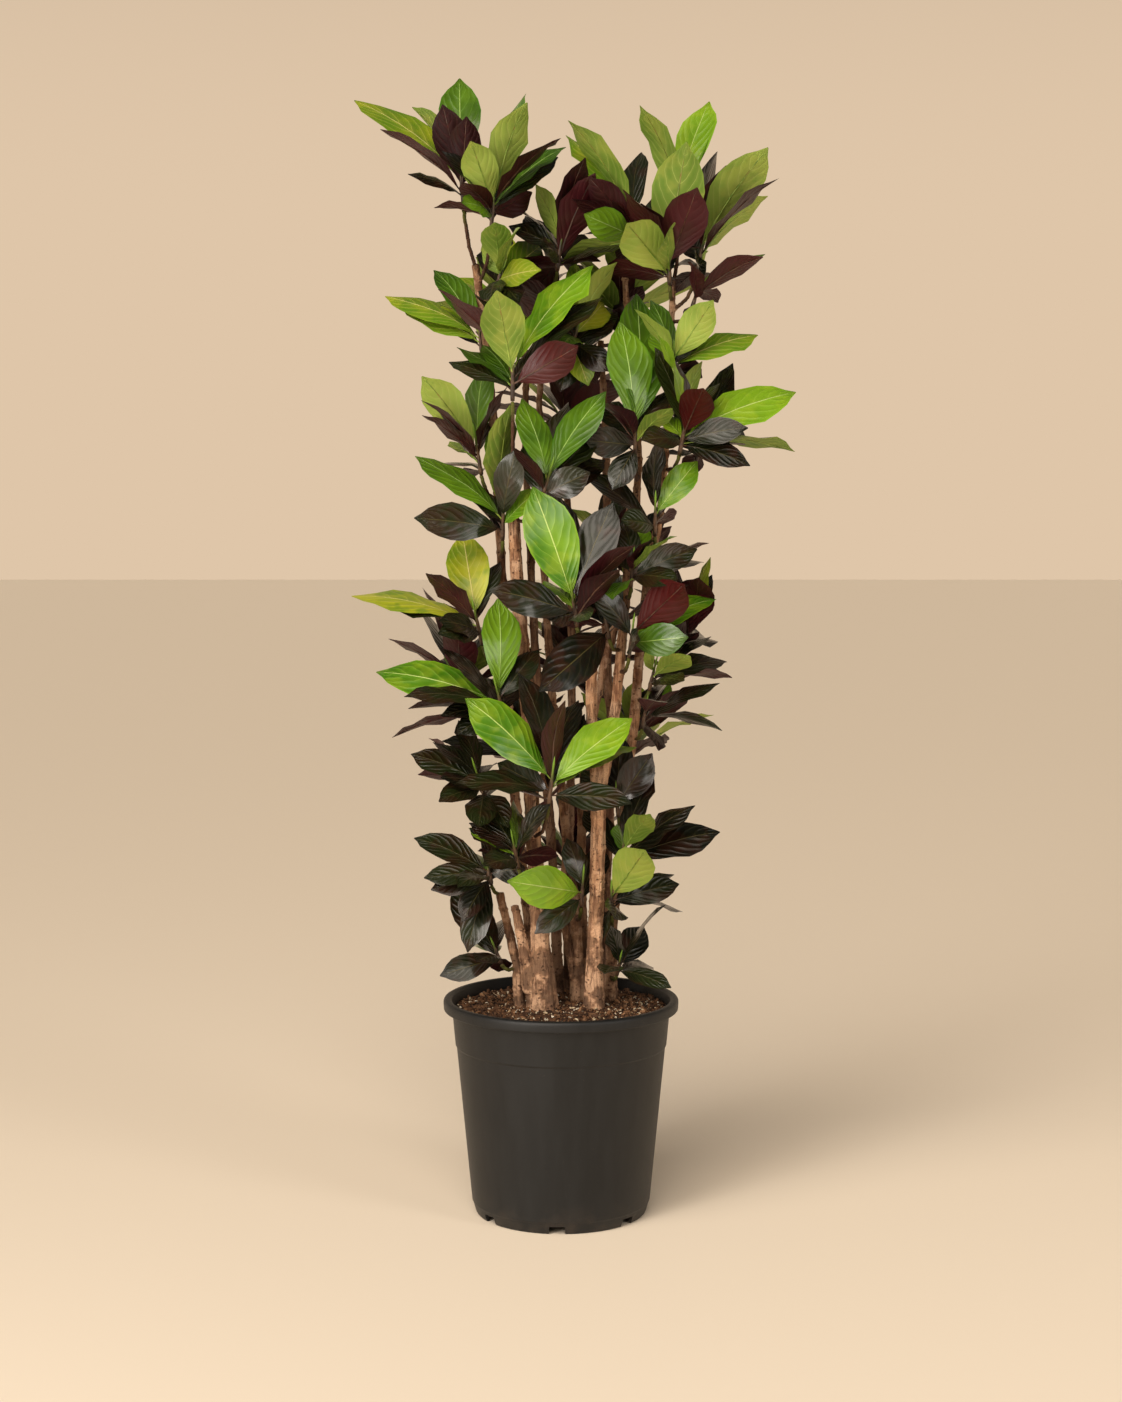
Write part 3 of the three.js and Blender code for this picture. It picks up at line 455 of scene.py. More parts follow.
# The leaves that the photograph shows as young, yellow, green or red: for each shoot, the places of their
# tips in the front view, as read off.
tipPlaces = {
    "crown_left_outer": {"yellow": [(353, 100)], "green": [(459, 78)], "young": [(411, 107)]},
    "crown_left_inner": {
        "young": [(470, 141), (527, 102), (526, 93)], "green": [(566, 147), (500, 127), (461, 203)],
    },
    "heart_left": {"young": [(494, 222), (520, 227), (487, 240)], "yellow": [(541, 245), (541, 270)]},
    "crown_middle": {"young": [(535, 184), (578, 185)]},
    "crown_right_inner": {
        "yellow": [(565, 135)], "green": [(583, 214)],
        "young": [(567, 120), (611, 242), (582, 188), (560, 264), (617, 262)],
    },
    "crown_right": {"young": [(686, 141), (626, 223), (674, 222)]},
    "crown_right_top": {"young": [(639, 105), (709, 101)], "green": [(710, 113)]},
    "crown_right_outer": {"young": [(768, 147), (768, 196), (703, 262)]},
    "crown_right_low": {"green": [(765, 254)]},
    "shoulder_left": {
        "red": [(578, 346)], "young": [(496, 290), (593, 265)], "green": [(456, 347), (482, 345)],
    },
    "shoulder_left_outer": {"green": [(433, 270)], "yellow": [(400, 307), (384, 296)]},
    "flank_left_upper": {"young": [(421, 376), (447, 446)], "green": [(487, 362)]},
    "flank_left": {"green": [(414, 456), (490, 427)], "young": [(540, 490), (510, 404)]},
    "front_upper": {"green": [(521, 398), (606, 391)]},
    "centre_upper": {"green": [(619, 321), (636, 293)], "young": [(672, 408)]},
    "heart_upper": {
        "yellow": [(588, 386), (603, 303), (575, 262)], "young": [(617, 262)],
        "green": [(545, 372), (562, 345)],
    },
    "shoulder_right": {
        "yellow": [(758, 335)], "young": [(713, 300), (634, 309)], "green": [(650, 333), (650, 300)],
    },
    "flank_right_top": {
        "young": [(796, 392), (655, 332), (795, 452), (702, 361), (650, 410)], "red": [(703, 388)],
    },
    "flank_right_upper": {"young": [(697, 461), (637, 476)]},
    "front_middle": {"young": [(532, 486), (543, 581), (583, 571)]},
    "flank_right": {"green": [(641, 523), (612, 600)], "young": [(677, 536)]},
    "heart_middle": {"green": [(622, 575)]},
    "flank_left_middle": {"yellow": [(350, 596), (462, 532)]},
    "flank_left_lower": {"young": [(375, 672)], "green": [(497, 598)]},
    "front_lower": {"young": [(464, 698), (632, 718), (637, 747)]},
    "low_left_front": {"young": [(468, 828)], "green": [(513, 800)]},
    "low_left_outer": {"young": [(463, 848)]},
    "base_left": {"green": [(478, 944)]},
    "low_front": {"young": [(506, 881)]},
    "low_right": {"young": [(645, 850)]},
    "low_right_upper": {"green": [(616, 824)], "young": [(650, 814)]},
    "flank_right_middle": {"red": [(684, 584)], "young": [(716, 599)], "green": [(688, 637)]},
    "flank_right_tail": {"young": [(657, 636), (690, 656)]},
}
hiddenYoung = {"from": 1.05, "over": 0.45, "least": 0.15, "most": 0.75}


def leafKind(leaf, draws, shoot):
    # The kind that the photograph shows. Others are dark, but many of the high ones at the back are young.
    tip = inFrontView(leaf["tip"])
    for kind, places in tipPlaces.get(shoot, {}).items():
        if tip in places:
            return kind
    share = min(1, max(0, (leaf["tip"].z - hiddenYoung["from"]) / hiddenYoung["over"]))
    young = draws.random() < between(hiddenYoung["least"], hiddenYoung["most"], share)
    if not young or not shoot.startswith("back_"):
        return "dark"
    return draws.choice(["young", "green", "yellow"])


# More leaves deep in the plant, where they are clear of all that stands there. Angles in degrees.
inner = {
    "below": 1.3, "tries": 44, "most": 8, "length": (0.06, 0.115), "slender": 0.41, "spread": 95,
    "rise": (-25, 50), "roll": 35, "axis": (0, 0.045), "roots": (0.08, 0.7),
    "tested": (0.15, 0.35, 0.6, 0.85), "testedHalf": 0.55, "stemWithin": 0.5,
}


class Standing:
    # The faces that new leaves keep clear of.
    def __init__(self):
        self.points = []
        self.faces = []
        for name, node in nodes.items():
            if slots[name] == "bark" and not name.startswith("stem_back"):
                self.addNode(node)
        self.frontStems = BVHTree.FromPolygons(self.points, self.faces)
        for node in nodes.values():
            self.addNode(node)

    def addNode(self, node):
        points = [vertex.co.copy() for vertex in node.data.vertices]
        self.add(points, [face.vertices for face in node.data.polygons])

    def add(self, points, faces):
        first = len(self.points)
        self.points.extend(points)
        self.faces.extend([first + i for i in face] for face in faces)

    def update(self):
        self.tree = BVHTree.FromPolygons(self.points, self.faces)

    def isClear(self, start, end):
        way = end - start
        return self.tree.ray_cast(start, way.normalized(), way.length)[0] is None

    def hidesStem(self, point):
        # Whether it stands before a front stem, seen from the camera.
        way = (point - Vector(frontView["eye"])).normalized()
        return self.frontStems.ray_cast(point, way, inner["stemWithin"])[0] is not None


def leafPoint(leaf, share, across):
    bow = cadBlade["arch"] * 4 * share * (1 - share) * leaf["length"]
    width = leaf["width"] * math.sin(math.pi * share) if share < 1 else 0
    rib = leaf["root"] + leaf["along"] * share * leaf["length"] + leaf["face"] * bow
    return rib + leaf["side"] * across * width


def innerLeaves(foot, way, reach, draws, standing):
    made = []
    inward = Vector(inner["axis"]) - foot.xy
    heading = math.atan2(inward.y, inward.x)
    steps = len(inner["tested"])
    for _ in range(inner["tries"]):
        turn = heading + math.radians(draws.uniform(-inner["spread"], inner["spread"]))
        rise = math.radians(draws.uniform(*inner["rise"]))
        roll = math.radians(draws.uniform(-inner["roll"], inner["roll"]))
        length = draws.uniform(*inner["length"])
        root = foot + way * reach * draws.uniform(*inner["roots"])
        along = Vector((math.cos(turn) * math.cos(rise), math.sin(turn) * math.cos(rise), math.sin(rise)))
        side = Matrix.Rotation(roll, 3, along) @ along.cross(Vector((0, 0, 1))).normalized()
        leaf = {
            "root": root, "tip": root + along * length, "along": along, "side": side,
            "face": side.cross(along), "length": length, "width": inner["slender"] * length,
        }
        rows = [
            [leafPoint(leaf, share, across) for share in (*inner["tested"], 1)]
            for across in (-inner["testedHalf"], 0, inner["testedHalf"])
        ]
        isClear = all(
            standing.isClear(start, end) for row in rows for start, end in zip(row, row[1:])
        ) and all(standing.isClear(left, right) for left, right in zip(rows[0], rows[2][:-1]))
        isClear = isClear and not any(standing.hidesStem(point) for row in rows for point in row)
        if isClear and len(made) < inner["most"]:
            made.append(leaf)
            faces = [(i, i + 1, i + steps + 2, i + steps + 1) for i in range(steps)]
            standing.add([*rows[0], *rows[2]], faces)
            standing.update()
    return made


# The leaf blade, its rib and the shoot. Pairs are the least and the most that a leaf may have.
blade = {
    "rows": 11, "columns": 4, "crowding": 0.75, "stalk": 0.07, "end": 0.994, "thickness": 0.0006,
    "least": 0.0008, "fold": (0.08, 0.32), "curl": (0.06, 0.24), "wave": (0.05, 0.19), "waves": (1.4, 3.0),
    "waveRise": 1.5, "skew": (0.3, 1.4), "twist": 10, "sway": 0.012, "bulge": (1.0, 1.26), "fullness": 0.76,
    "taperFrom": 0.8, "taper": 0.52, "smooth": 100,
}
ribShape = {
    "sides": 3, "steps": 4, "stalkRadius": 0.0013, "tipRadius": 0.0004, "thinsFrom": -0.2,
    "from": -0.015, "to": 0.96, "sunk": 0.7, "sunkFrom": 0.1,
}
shootShape = {
    "sides": 8, "steps": 12, "foot": 0.0027, "tip": 0.0012, "knuckle": 0.0005, "knuckleReach": 0.002,
    "bud": 0.014, "budWidth": 1.25, "budRound": 0.7, "budEnd": 0.0002, "tone": 0.5,
}


def modelBlade():
    # A closed unit blade: x runs from 0 to 1, y from -0.5 to 0.5, z is 0 above and -1 below.
    upper = added(
        "grid", x_subdivisions=blade["rows"], y_subdivisions=blade["columns"], size=1, location=(0.5, 0, 0)
    )
    settle()
    bpy.ops.object.duplicate()
    lower = bpy.context.object
    editAll()
    bpy.ops.mesh.flip_normals()
    selectWhere(lambda place: 0.01 < place.x < 0.99 and abs(place.y) < 0.49)
    bpy.ops.transform.translate(value=(0, 0, -1))
    leaveEditing()
    for isLower, sheet in enumerate((upper, lower)):
        setValues(sheet.data, "lower", [isLower] * len(sheet.data.polygons))
    template = joined("bladeTemplate", [upper, lower])
    editAll()
    bpy.ops.mesh.remove_doubles(threshold=1e-4)
    leaveEditing()
    return template


def modelRod(name, sides, steps):
    # A closed rod of radius 1 along +X from 0 to 1.
    rod = added("circle", vertices=sides, radius=1, rotation=(0, math.pi / 2, 0))
    settle()
    rod.name = name
    editAll()
    for _ in range(steps):
        bpy.ops.mesh.extrude_region_move(TRANSFORM_OT_translate={"value": (1 / steps, 0, 0)})
    for end in (0, 1):
        selectWhere(lambda place: abs(place.x - end) < 1e-4)
        bpy.ops.mesh.edge_face_add()
    bpy.ops.mesh.select_all(action="SELECT")
    bpy.ops.mesh.normals_make_consistent(inside=False)
    leaveEditing()
    return rod


def outline(share, bulge):
    # The blade's width along its length: broadest past the middle, with a short drawn-out tip.
    width = math.sin(math.pi * share ** bulge) ** blade["fullness"] if 0 < share < 1 else 0
    return width * (1 - blade["taper"] * eased(share, blade["taperFrom"], 1))


def ribPlace(leaf, life, u):
    # A point on the rib at a share of the leaf's length.
    bow = cadBlade["arch"] * 4 * u * (1 - u) + life["sway"] * math.sin(2 * math.pi * u)
    return leaf["root"] + (leaf["along"] * u + leaf["face"] * bow) * leaf["length"]


def bladePlace(leaf, life, point):
    x, v, under = point.x, 2 * point.y, point.z
    along = x - blade["crowding"] * math.sin(2 * math.pi * x) / (2 * math.pi)
    u = between(blade["stalk"], blade["end"], along)
    half = leaf["width"] / 2 * outline(along, life["bulge"]) + blade["least"]
    ripple = math.sin(2 * math.pi * life["waves"] * u + life["phase"] + math.copysign(life["skew"], v))
    wave = life["wave"] * abs(v) ** blade["waveRise"] * ripple
    lift = half * (life["fold"] * abs(v) - life["curl"] * v * v + wave)
    angle = life["twist"] * (u - 0.5)
    right = v * half * math.cos(angle) - lift * math.sin(angle)
    above = v * half * math.sin(angle) + lift * math.cos(angle) + under * blade["thickness"]
    return ribPlace(leaf, life, u) + leaf["side"] * right + leaf["face"] * above


def rodPlace(leaf, life, point):
    u = between(ribShape["from"], ribShape["to"], point.x)
    thinned = eased(point.x, ribShape["thinsFrom"], 1)
    radius = between(ribShape["stalkRadius"], ribShape["tipRadius"], thinned)
    sinking = eased(u, 0, ribShape["sunkFrom"])
    sunk = ribPlace(leaf, life, u) - leaf["face"] * radius * ribShape["sunk"] * sinking
    return sunk + (leaf["side"] * point.y + leaf["face"] * point.z) * radius


def shootPlace(foot, way, reach, knuckles, point):
    across = way.orthogonal().normalized()
    height = point.x * (reach + shootShape["bud"])
    past = max(0, height - reach) / shootShape["bud"]
    radius = between(shootShape["foot"], shootShape["tip"], min(1, height / reach))
    swells = [math.exp(-((height - knuckle) / shootShape["knuckleReach"]) ** 2) for knuckle in knuckles]
    radius += sum(shootShape["knuckle"] * swell for swell in swells)
    if past:
        radius = shootShape["tip"] * shootShape["budWidth"] * (1 - past) ** shootShape["budRound"]
        radius += shootShape["budEnd"]
    return foot + way * height + (across * point.y + way.cross(across) * point.z) * radius


def placedCopy(template, place, finishes, seed):
    # A copy of a template, bent into its place, with its UV map along and across the leaf.
    mesh = template.data.copy()
    flat = [vertex.co.copy() for vertex in mesh.vertices]
    layer = mesh.uv_layers.new(name="leaf")
    isRod = "lower" not in mesh.attributes
    for loop in mesh.loops:
        point = flat[loop.vertex_index]
        layer.data[loop.index].uv = (point.x, 0.5 if isRod else point.y + 0.5)
    for vertex, point in zip(mesh.vertices, flat):
        vertex.co = place(point)
    mesh.materials.clear()
    for finish in finishes:
        mesh.materials.append(finish)
    lower = mesh.attributes.get("lower")
    for polygon in mesh.polygons:
        polygon.material_index = int(lower.data[polygon.index].value) if lower else 0
    if lower:
        mesh.attributes.remove(lower)
    setValues(mesh, "seed", [seed] * len(mesh.polygons))
    return linked(template.name, mesh)


def makeSprays(finishes):
    bladeTemplate = modelBlade()
    ribTemplate = modelRod("ribTemplate", ribShape["sides"], ribShape["steps"])
    shootTemplate = modelRod("shootTemplate", shootShape["sides"], shootShape["steps"])
    standing = Standing()
    standing.update()
    footPlaces = []
    total = 0
    for number, name in enumerate(sorted(name for name in nodes if name.startswith("spray_"))):
        draws = random.Random(number)
        foot, way, reach, leaves = readSpray(nodes[name])
        if foot.z < inner["below"]:
            leaves.extend(innerLeaves(foot, way, reach, draws, standing))
        knuckles = [(leaf["root"] - foot).dot(way) for leaf in leaves]
        parts = [placedCopy(
            shootTemplate,
            lambda point: shootPlace(foot, way, reach, knuckles, point),
            [finishes["shoot"]],
            shootShape["tone"],
        )]
        for leaf in leaves:
            upper, under, stalk = leafKinds[leafKind(leaf, draws, name.removeprefix("spray_"))]
            keys = ("fold", "curl", "wave", "waves", "bulge")
            life = {key: between(*blade[key], draws.random()) for key in keys}
            life["phase"] = draws.uniform(0, 2 * math.pi)
            life["skew"] = draws.uniform(*blade["skew"])
            life["twist"] = math.radians(draws.uniform(-blade["twist"], blade["twist"]))
            life["sway"] = draws.uniform(-blade["sway"], blade["sway"])
            seed = draws.random()
            parts.append(placedCopy(
                bladeTemplate,
                lambda point: bladePlace(leaf, life, point),
                [finishes[upper], finishes[under]],
                seed,
            ))
            parts.append(placedCopy(
                ribTemplate, lambda point: rodPlace(leaf, life, point), [finishes[stalk]], seed
            ))
        spray = joined(name + "_leaves", parts)
        shadeSmooth(spray, blade["smooth"])
        finishPiece(spray, name)
        footPlaces.append(foot)
        total += len(leaves)
    for template in (bladeTemplate, ribTemplate, shootTemplate):
        bpy.data.objects.remove(template)
    print("sprays made, leaves:", total)
    return footPlaces


stemShape = {
    "voxel": 0.0016, "smoothing": 14, "smooth": 80, "deepest": 0.02, "twigBelow": 0.0085,
    "twigRadius": 0.0024, "lumps": 0.0011, "lumpScale": 45, "ridges": 0.0008, "ridgeScale": (240, 240, 26),
    "calmTwigs": 0.8, "rings": 0.0009, "ringCount": 34, "ringSpan": (0.3, 1.45), "ringWidth": 0.0016,
    "ringWander": 0.004, "ringScale": 60, "green": 0.03, "flareTo": 0.4, "flareFrom": 0.29,
}
stemFlare = {"trunk_left": 0.0055, "trunk_right": 0.003, "others": 0.0015}  # how much thicker at the mix
# How much painted shade darkens the inner and the rear stems, which stand in the foliage's shade, against
# the front ones.
paintedStemShade = {
    "trunk_left": 0.12, "trunk_right": 0.0, "stub_left_outer": 0.2, "stem_left_tall": 0.35,
    "stem_right_tall": 0.2, "stem_centre": 0.5, "stem_centre_right": 0.45, "stem_back_left": 0.75,
    "stem_back_right": 0.75, "stem_back_middle": 0.8,
}


def makeStem(name, footPlaces):
    # The CAD stem, rounded and given bark: lumps, long ridges, the rings of old leaves and thin green twigs.
    piece = linked(name + "_bark", nodes[name].data.copy())
    piece.data.materials.clear()
    choose(piece)
    editAll()
    bpy.ops.mesh.remove_doubles(threshold=1e-5)
    leaveEditing()
    applyModifier(piece, "REMESH", mode="VOXEL", voxel_size=stemShape["voxel"])
    applyModifier(piece, "SMOOTH", factor=0.5, iterations=stemShape["smoothing"])
    mesh = piece.data
    tree = BVHTree.FromPolygons([v.co for v in mesh.vertices], [p.vertices for p in mesh.polygons])
    draws = random.Random(name)
    rings = [draws.uniform(*stemShape["ringSpan"]) for _ in range(stemShape["ringCount"])]
    young, twigs, moved = [], [], []
    for vertex in mesh.vertices:
        place, normal = vertex.co.copy(), vertex.normal.copy()
        hit = tree.ray_cast(place - normal * 1e-4, -normal)
        depth = hit[3] if hit[3] is not None else stemShape["deepest"]
        twig = 1 - eased(depth, 0.6 * stemShape["twigBelow"], stemShape["twigBelow"])
        nearest = min((place - foot).length for foot in footPlaces)
        greenness = 1 - eased(nearest, 0.3 * stemShape["green"], stemShape["green"])
        young.append(twig * greenness)
        twigs.append(twig)
        lumps = noise.noise(place * stemShape["lumpScale"]) * stemShape["lumps"]
        stretched = Vector([value * scale for value, scale in zip(place, stemShape["ridgeScale"])])
        ridges = noise.noise(stretched) * stemShape["ridges"]
        wander = noise.noise(place * stemShape["ringScale"]) * stemShape["ringWander"]
        ring = sum(math.exp(-((place.z - z + wander) / stemShape["ringWidth"]) ** 2) for z in rings)
        swell = (lumps + ridges + ring * stemShape["rings"]) * (1 - stemShape["calmTwigs"] * twig)
        swell += twig * max(0, stemShape["twigRadius"] - depth / 2)
        flare = 1 - eased(place.z, stemShape["flareFrom"], stemShape["flareTo"])
        swell += stemFlare.get(name, stemFlare["others"]) * flare * (1 - twig)
        moved.append(place + normal * swell)
    for vertex, place in zip(mesh.vertices, moved):
        vertex.co = place
    # The "shade" values say how much painted shade each stem's bark gets.
    for key, values in {"young": young, "twig": twigs, "shade": [paintedStemShade[name]] * len(moved)}.items():
        setValues(mesh, key, values, "POINT")
    shadeSmooth(piece, stemShape["smooth"])
    finishPiece(piece, name)
    return piece


# The bark's colours with the strength of each layer, and the scales of its noises. The shade layer is
# painted shade on the inner and rear stems.
barkLook = {
    "deep": "#7b523a", "bright": "#c49671", "patch": ("#d2aa89", 0.8), "low": ("#66503f", 0.85),
    "crack": ("#4a2e20", 0.5), "pore": ("#2f1d15", 0.7), "grit": ("#5a3c2b", 0.4), "shade": ("#3d281c", 0.8),
    "twig": ("#3c261d", 0.85), "young": ("#5c6a26", 0.6), "specular": 0.25, "rough": 0.75, "gritRough": 0.2,
    "fissureScale": 170, "patchScale": 36, "gritScale": 650, "crackScale": 130, "crackedScale": 60,
    "poreScale": 130, "poredScale": 110, "lowFrom": 0.56, "lowTo": 0.29, "relief": 0.0022,
}


def barkFinish():
    look = barkLook
    finish = Finish("bark", {"Specular IOR Level": look["specular"]})
    place = finish.place()
    fissures = finish.noise(finish.place((1, 1, 0.12)), look["fissureScale"], detail=5, roughness=0.65)
    patches = finish.noise(place, look["patchScale"], detail=4, roughness=0.62)
    grit = finish.noise(place, look["gritScale"], detail=3, roughness=0.6)
    height = finish.axis(finish.coords(), "Z")
    lines = abs(finish.noise(finish.place((1, 1, 0.1)), look["crackScale"], detail=4) - 0.5)
    crack = lines.eased(0.035, 0.004) * finish.noise(place, look["crackedScale"], detail=2).eased(0.4, 0.55)
    colour = finish.mixed(fissures.eased(0.36, 0.64), tint(look["deep"]), tint(look["bright"]))
    colour = finish.over(colour, patches.eased(0.46, 0.6), look["patch"])
    low = height.eased(look["lowFrom"], look["lowTo"])
    colour = finish.over(colour, low * patches.eased(0.58, 0.42), look["low"])
    pores = finish.cells(finish.place((1, 1, 1.7)), look["poreScale"])
    pore = pores.eased(0.34, 0.2) * finish.noise(place, look["poredScale"], detail=1).eased(0.5, 0.56)
    layers = {"crack": crack, "pore": pore, "grit": grit.eased(0.5, 0.7)}
    # The "shade" layer paints shade onto the inner and rear stems.
    layers.update({name: finish.attribute(name) for name in ("shade", "twig", "young")})
    for name, share in layers.items():
        colour = finish.over(colour, share, look[name])
    finish.shade("Base Color", colour)
    finish.shade("Roughness", look["rough"] + grit * look["gritRough"])
    finish.bump(fissures * 0.8 + grit * 0.3 - crack * 0.5 + pore * 0.3 + patches * 0.3, look["relief"])
    return finish.material


potShape = {
    "sides": 144, "height": 0.294, "rim": 0.160, "rimHeight": 0.015, "rimInner": 0.149, "underRim": 0.148,
    "rimTaper": 0.0008, "step": 0.229, "stepHeight": 0.002, "aboveStep": 0.1436, "belowStep": 0.142,
    "footBand": 0.017, "bandDepth": 0.0012, "bandHeight": 0.002, "footRadius": 0.1215, "footContact": 0.116,
    "footRing": 0.004, "wall": 0.0026, "floor": 0.016, "floorThickness": 0.004, "centreFoot": 0.02,
    "smooth": 35,
}
notch = {"count": 7, "width": 0.021, "height": 0.011, "depth": 0.024, "turn": -0.045, "corner": 0.002}
drain = {"sides": 32, "radius": 0.006, "ring": 0.098, "middle": 0.014, "length": 0.02}


def rounded(profile, steps=4):
    # The profile with each corner that has a radius turned into an arc.
    points = [Vector(corner[:2]) for corner in profile]
    result = []
    for i, point in enumerate(points):
        radius = profile[i][2]
        if not radius:
            result.append(point)
            continue
        before = point + (points[i - 1] - point).normalized() * radius
        after = point + (points[i + 1] - point).normalized() * radius
        for k in range(steps + 1):
            share = k / steps
            result.append(before.lerp(point, share).lerp(point.lerp(after, share), share))
    return result


def makePot(finish):
    shape = potShape
    rimFoot = shape["height"] - shape["rimHeight"]
    plate = shape["floor"] - shape["floorThickness"]
    ring = shape["footContact"] - shape["footRing"]
    innerFloor = shape["footRadius"] - shape["wall"]
    profile = [  # each corner's distance from the axis, its height and how far it is rounded
        (shape["centreFoot"], 0, 0), (shape["centreFoot"], plate, 0), (ring, plate, 0), (ring, 0, 0),
        (shape["footContact"], 0, 0.003),
        (shape["footRadius"] - shape["bandDepth"], shape["footBand"] - shape["bandHeight"], 0.001),
        (shape["footRadius"], shape["footBand"], 0.001), (shape["belowStep"], shape["step"], 0.0008),
        (shape["aboveStep"], shape["step"] + shape["stepHeight"], 0.001),
        (shape["underRim"], rimFoot, 0.003),
        (shape["rim"] - shape["rimTaper"], rimFoot, 0.002), (shape["rim"], shape["height"], 0.0055),
        (shape["rimInner"], shape["height"], 0.004), (shape["underRim"] - shape["wall"], rimFoot, 0.004),
        (innerFloor, shape["floor"], 0.003), (shape["centreFoot"], shape["floor"], 0),
    ]
    points = rounded(profile)
    pot = added("circle", vertices=shape["sides"], radius=points[0].x, location=(0, 0, points[0].y))
    settle()
    pot.name = "pot_shell"
    editAll()
    for before, after in zip(points, points[1:]):
        bpy.ops.mesh.extrude_region_move(TRANSFORM_OT_translate={"value": (0, 0, after.y - before.y)})
        wider = after.x / before.x
        bpy.ops.transform.resize(value=(wider, wider, 1), center_override=(0, 0, after.y))
    bpy.ops.mesh.edge_face_add()
    selectWhere(lambda place: place.z < 1e-5 and place.xy.length < shape["centreFoot"] + 1e-4)
    bpy.ops.mesh.edge_face_add()
    bpy.ops.mesh.select_all(action="SELECT")
    bpy.ops.mesh.normals_make_consistent(inside=False)
    leaveEditing()
    cutters = []
    for i in range(notch["count"]):
        angle = 2 * math.pi * i / notch["count"] + notch["turn"] - math.pi / 2
        way = Vector((math.cos(angle), math.sin(angle), 0))
        block = added("cube", size=1, location=way * shape["footContact"], rotation=(0, 0, angle))
        block.scale = (notch["depth"], notch["width"], 2 * notch["height"])
        settle()
        applyModifier(block, "BEVEL", width=notch["corner"], segments=3)
        hole = added(
            "cylinder", vertices=drain["sides"], radius=drain["radius"], depth=drain["length"],
            location=way * drain["ring"] + Vector((0, 0, drain["middle"])),
        )
        settle()
        cutters.extend([block, hole])
    cutter = joined("notchCutter", cutters)
    applyModifier(pot, "BOOLEAN", operation="DIFFERENCE", object=cutter, solver="EXACT")
    bpy.data.objects.remove(cutter)
    pot.data.materials.clear()
    pot.data.materials.append(finish)
    shadeSmooth(pot, potShape["smooth"])
    finishPiece(pot, "pot")
    print("pot made")


potLook = {
    "deep": "#0d0e0f", "bright": "#141516", "dust": ("#3c332b", 0.5), "speck": ("#6a5c50", 0.6),
    "dustTo": 0.05, "grainScale": 1400, "flowScale": 60, "dustScale": 30, "speckScale": 260,
    "speckedScale": 90, "specular": 0.4, "rough": 0.4, "grainRough": 0.12, "dustRough": 0.06,
    "relief": 0.00026,
}


def potFinish():
    look = potLook
    finish = Finish("blackPlastic", {"Specular IOR Level": look["specular"]})
    place = finish.place()
    grain = finish.noise(place, look["grainScale"], detail=2)
    flow = finish.noise(finish.place((1, 1, 0.12)), look["flowScale"], detail=3)
    dust = finish.noise(place, look["dustScale"], detail=5, roughness=0.7)
    height = finish.axis(finish.coords(), "Z")
    specks = finish.cells(place, look["speckScale"])
    speck = specks.eased(0.1, 0.05) * finish.noise(place, look["speckedScale"], detail=1).eased(0.6, 0.66)
    colour = finish.mixed(flow.eased(0.3, 0.7), tint(look["deep"]), tint(look["bright"]))
    colour = finish.over(colour, height.eased(look["dustTo"], 0.0) * dust.eased(0.4, 0.7), look["dust"])
    finish.shade("Base Color", finish.over(colour, speck, look["speck"]))
    finish.shade("Roughness", look["rough"] + grain * look["grainRough"] + dust * look["dustRough"])
    finish.bump(grain * 0.8 + flow * 0.15, look["relief"])
    return finish.material


mixShape = {
    "sides": 96, "level": 0.280, "mound": 0.007, "depth": 0.05, "rings": 30, "rough": 0.0022,
    "roughScale": 70, "sunk": 0.001, "clear": 0.0004, "smooth": 40,
}
# Chips on the mix. Sizes in metres, tilts in radians.
chips = {
    "seed": 11, "within": 0.97, "tilt": 0.45, "raised": 0.35, "bevel": 0.35, "bent": 0.35, "bentScale": 1.7,
}
chipShapes = {
    "bark": {"count": 1300, "size": (0.0025, 0.0095), "flat": 0.4, "wide": 0.45},
    "crumb": {"count": 2600, "size": (0.0016, 0.0036), "flat": 0.8, "wide": 0.9},
    "pale": {"count": 620, "size": (0.0018, 0.0075), "flat": 0.45, "wide": 0.45},
}


def innerWall(height):
    # The pot's inner radius at a height between its floor and its rim.
    shape = potShape
    rimFoot = shape["height"] - shape["rimHeight"]
    if height < shape["step"]:
        share = (height - shape["floor"]) / (shape["step"] - shape["floor"])
        return between(shape["footRadius"], shape["belowStep"], share) - shape["wall"]
    share = (height - shape["step"]) / (rimFoot - shape["step"])
    return between(shape["aboveStep"], shape["underRim"], share) - shape["wall"]


mixShape["edge"] = innerWall(mixShape["level"]) - mixShape["clear"]


def mixHeight(x, y):
    share = min(1, math.hypot(x, y) / mixShape["edge"])
    rough = noise.fractal(Vector((x, y, 0)) * mixShape["roughScale"], 1.0, 2.0, 4) * mixShape["rough"]
    return mixShape["level"] + mixShape["mound"] * (1 - share * share) + rough - mixShape["sunk"]


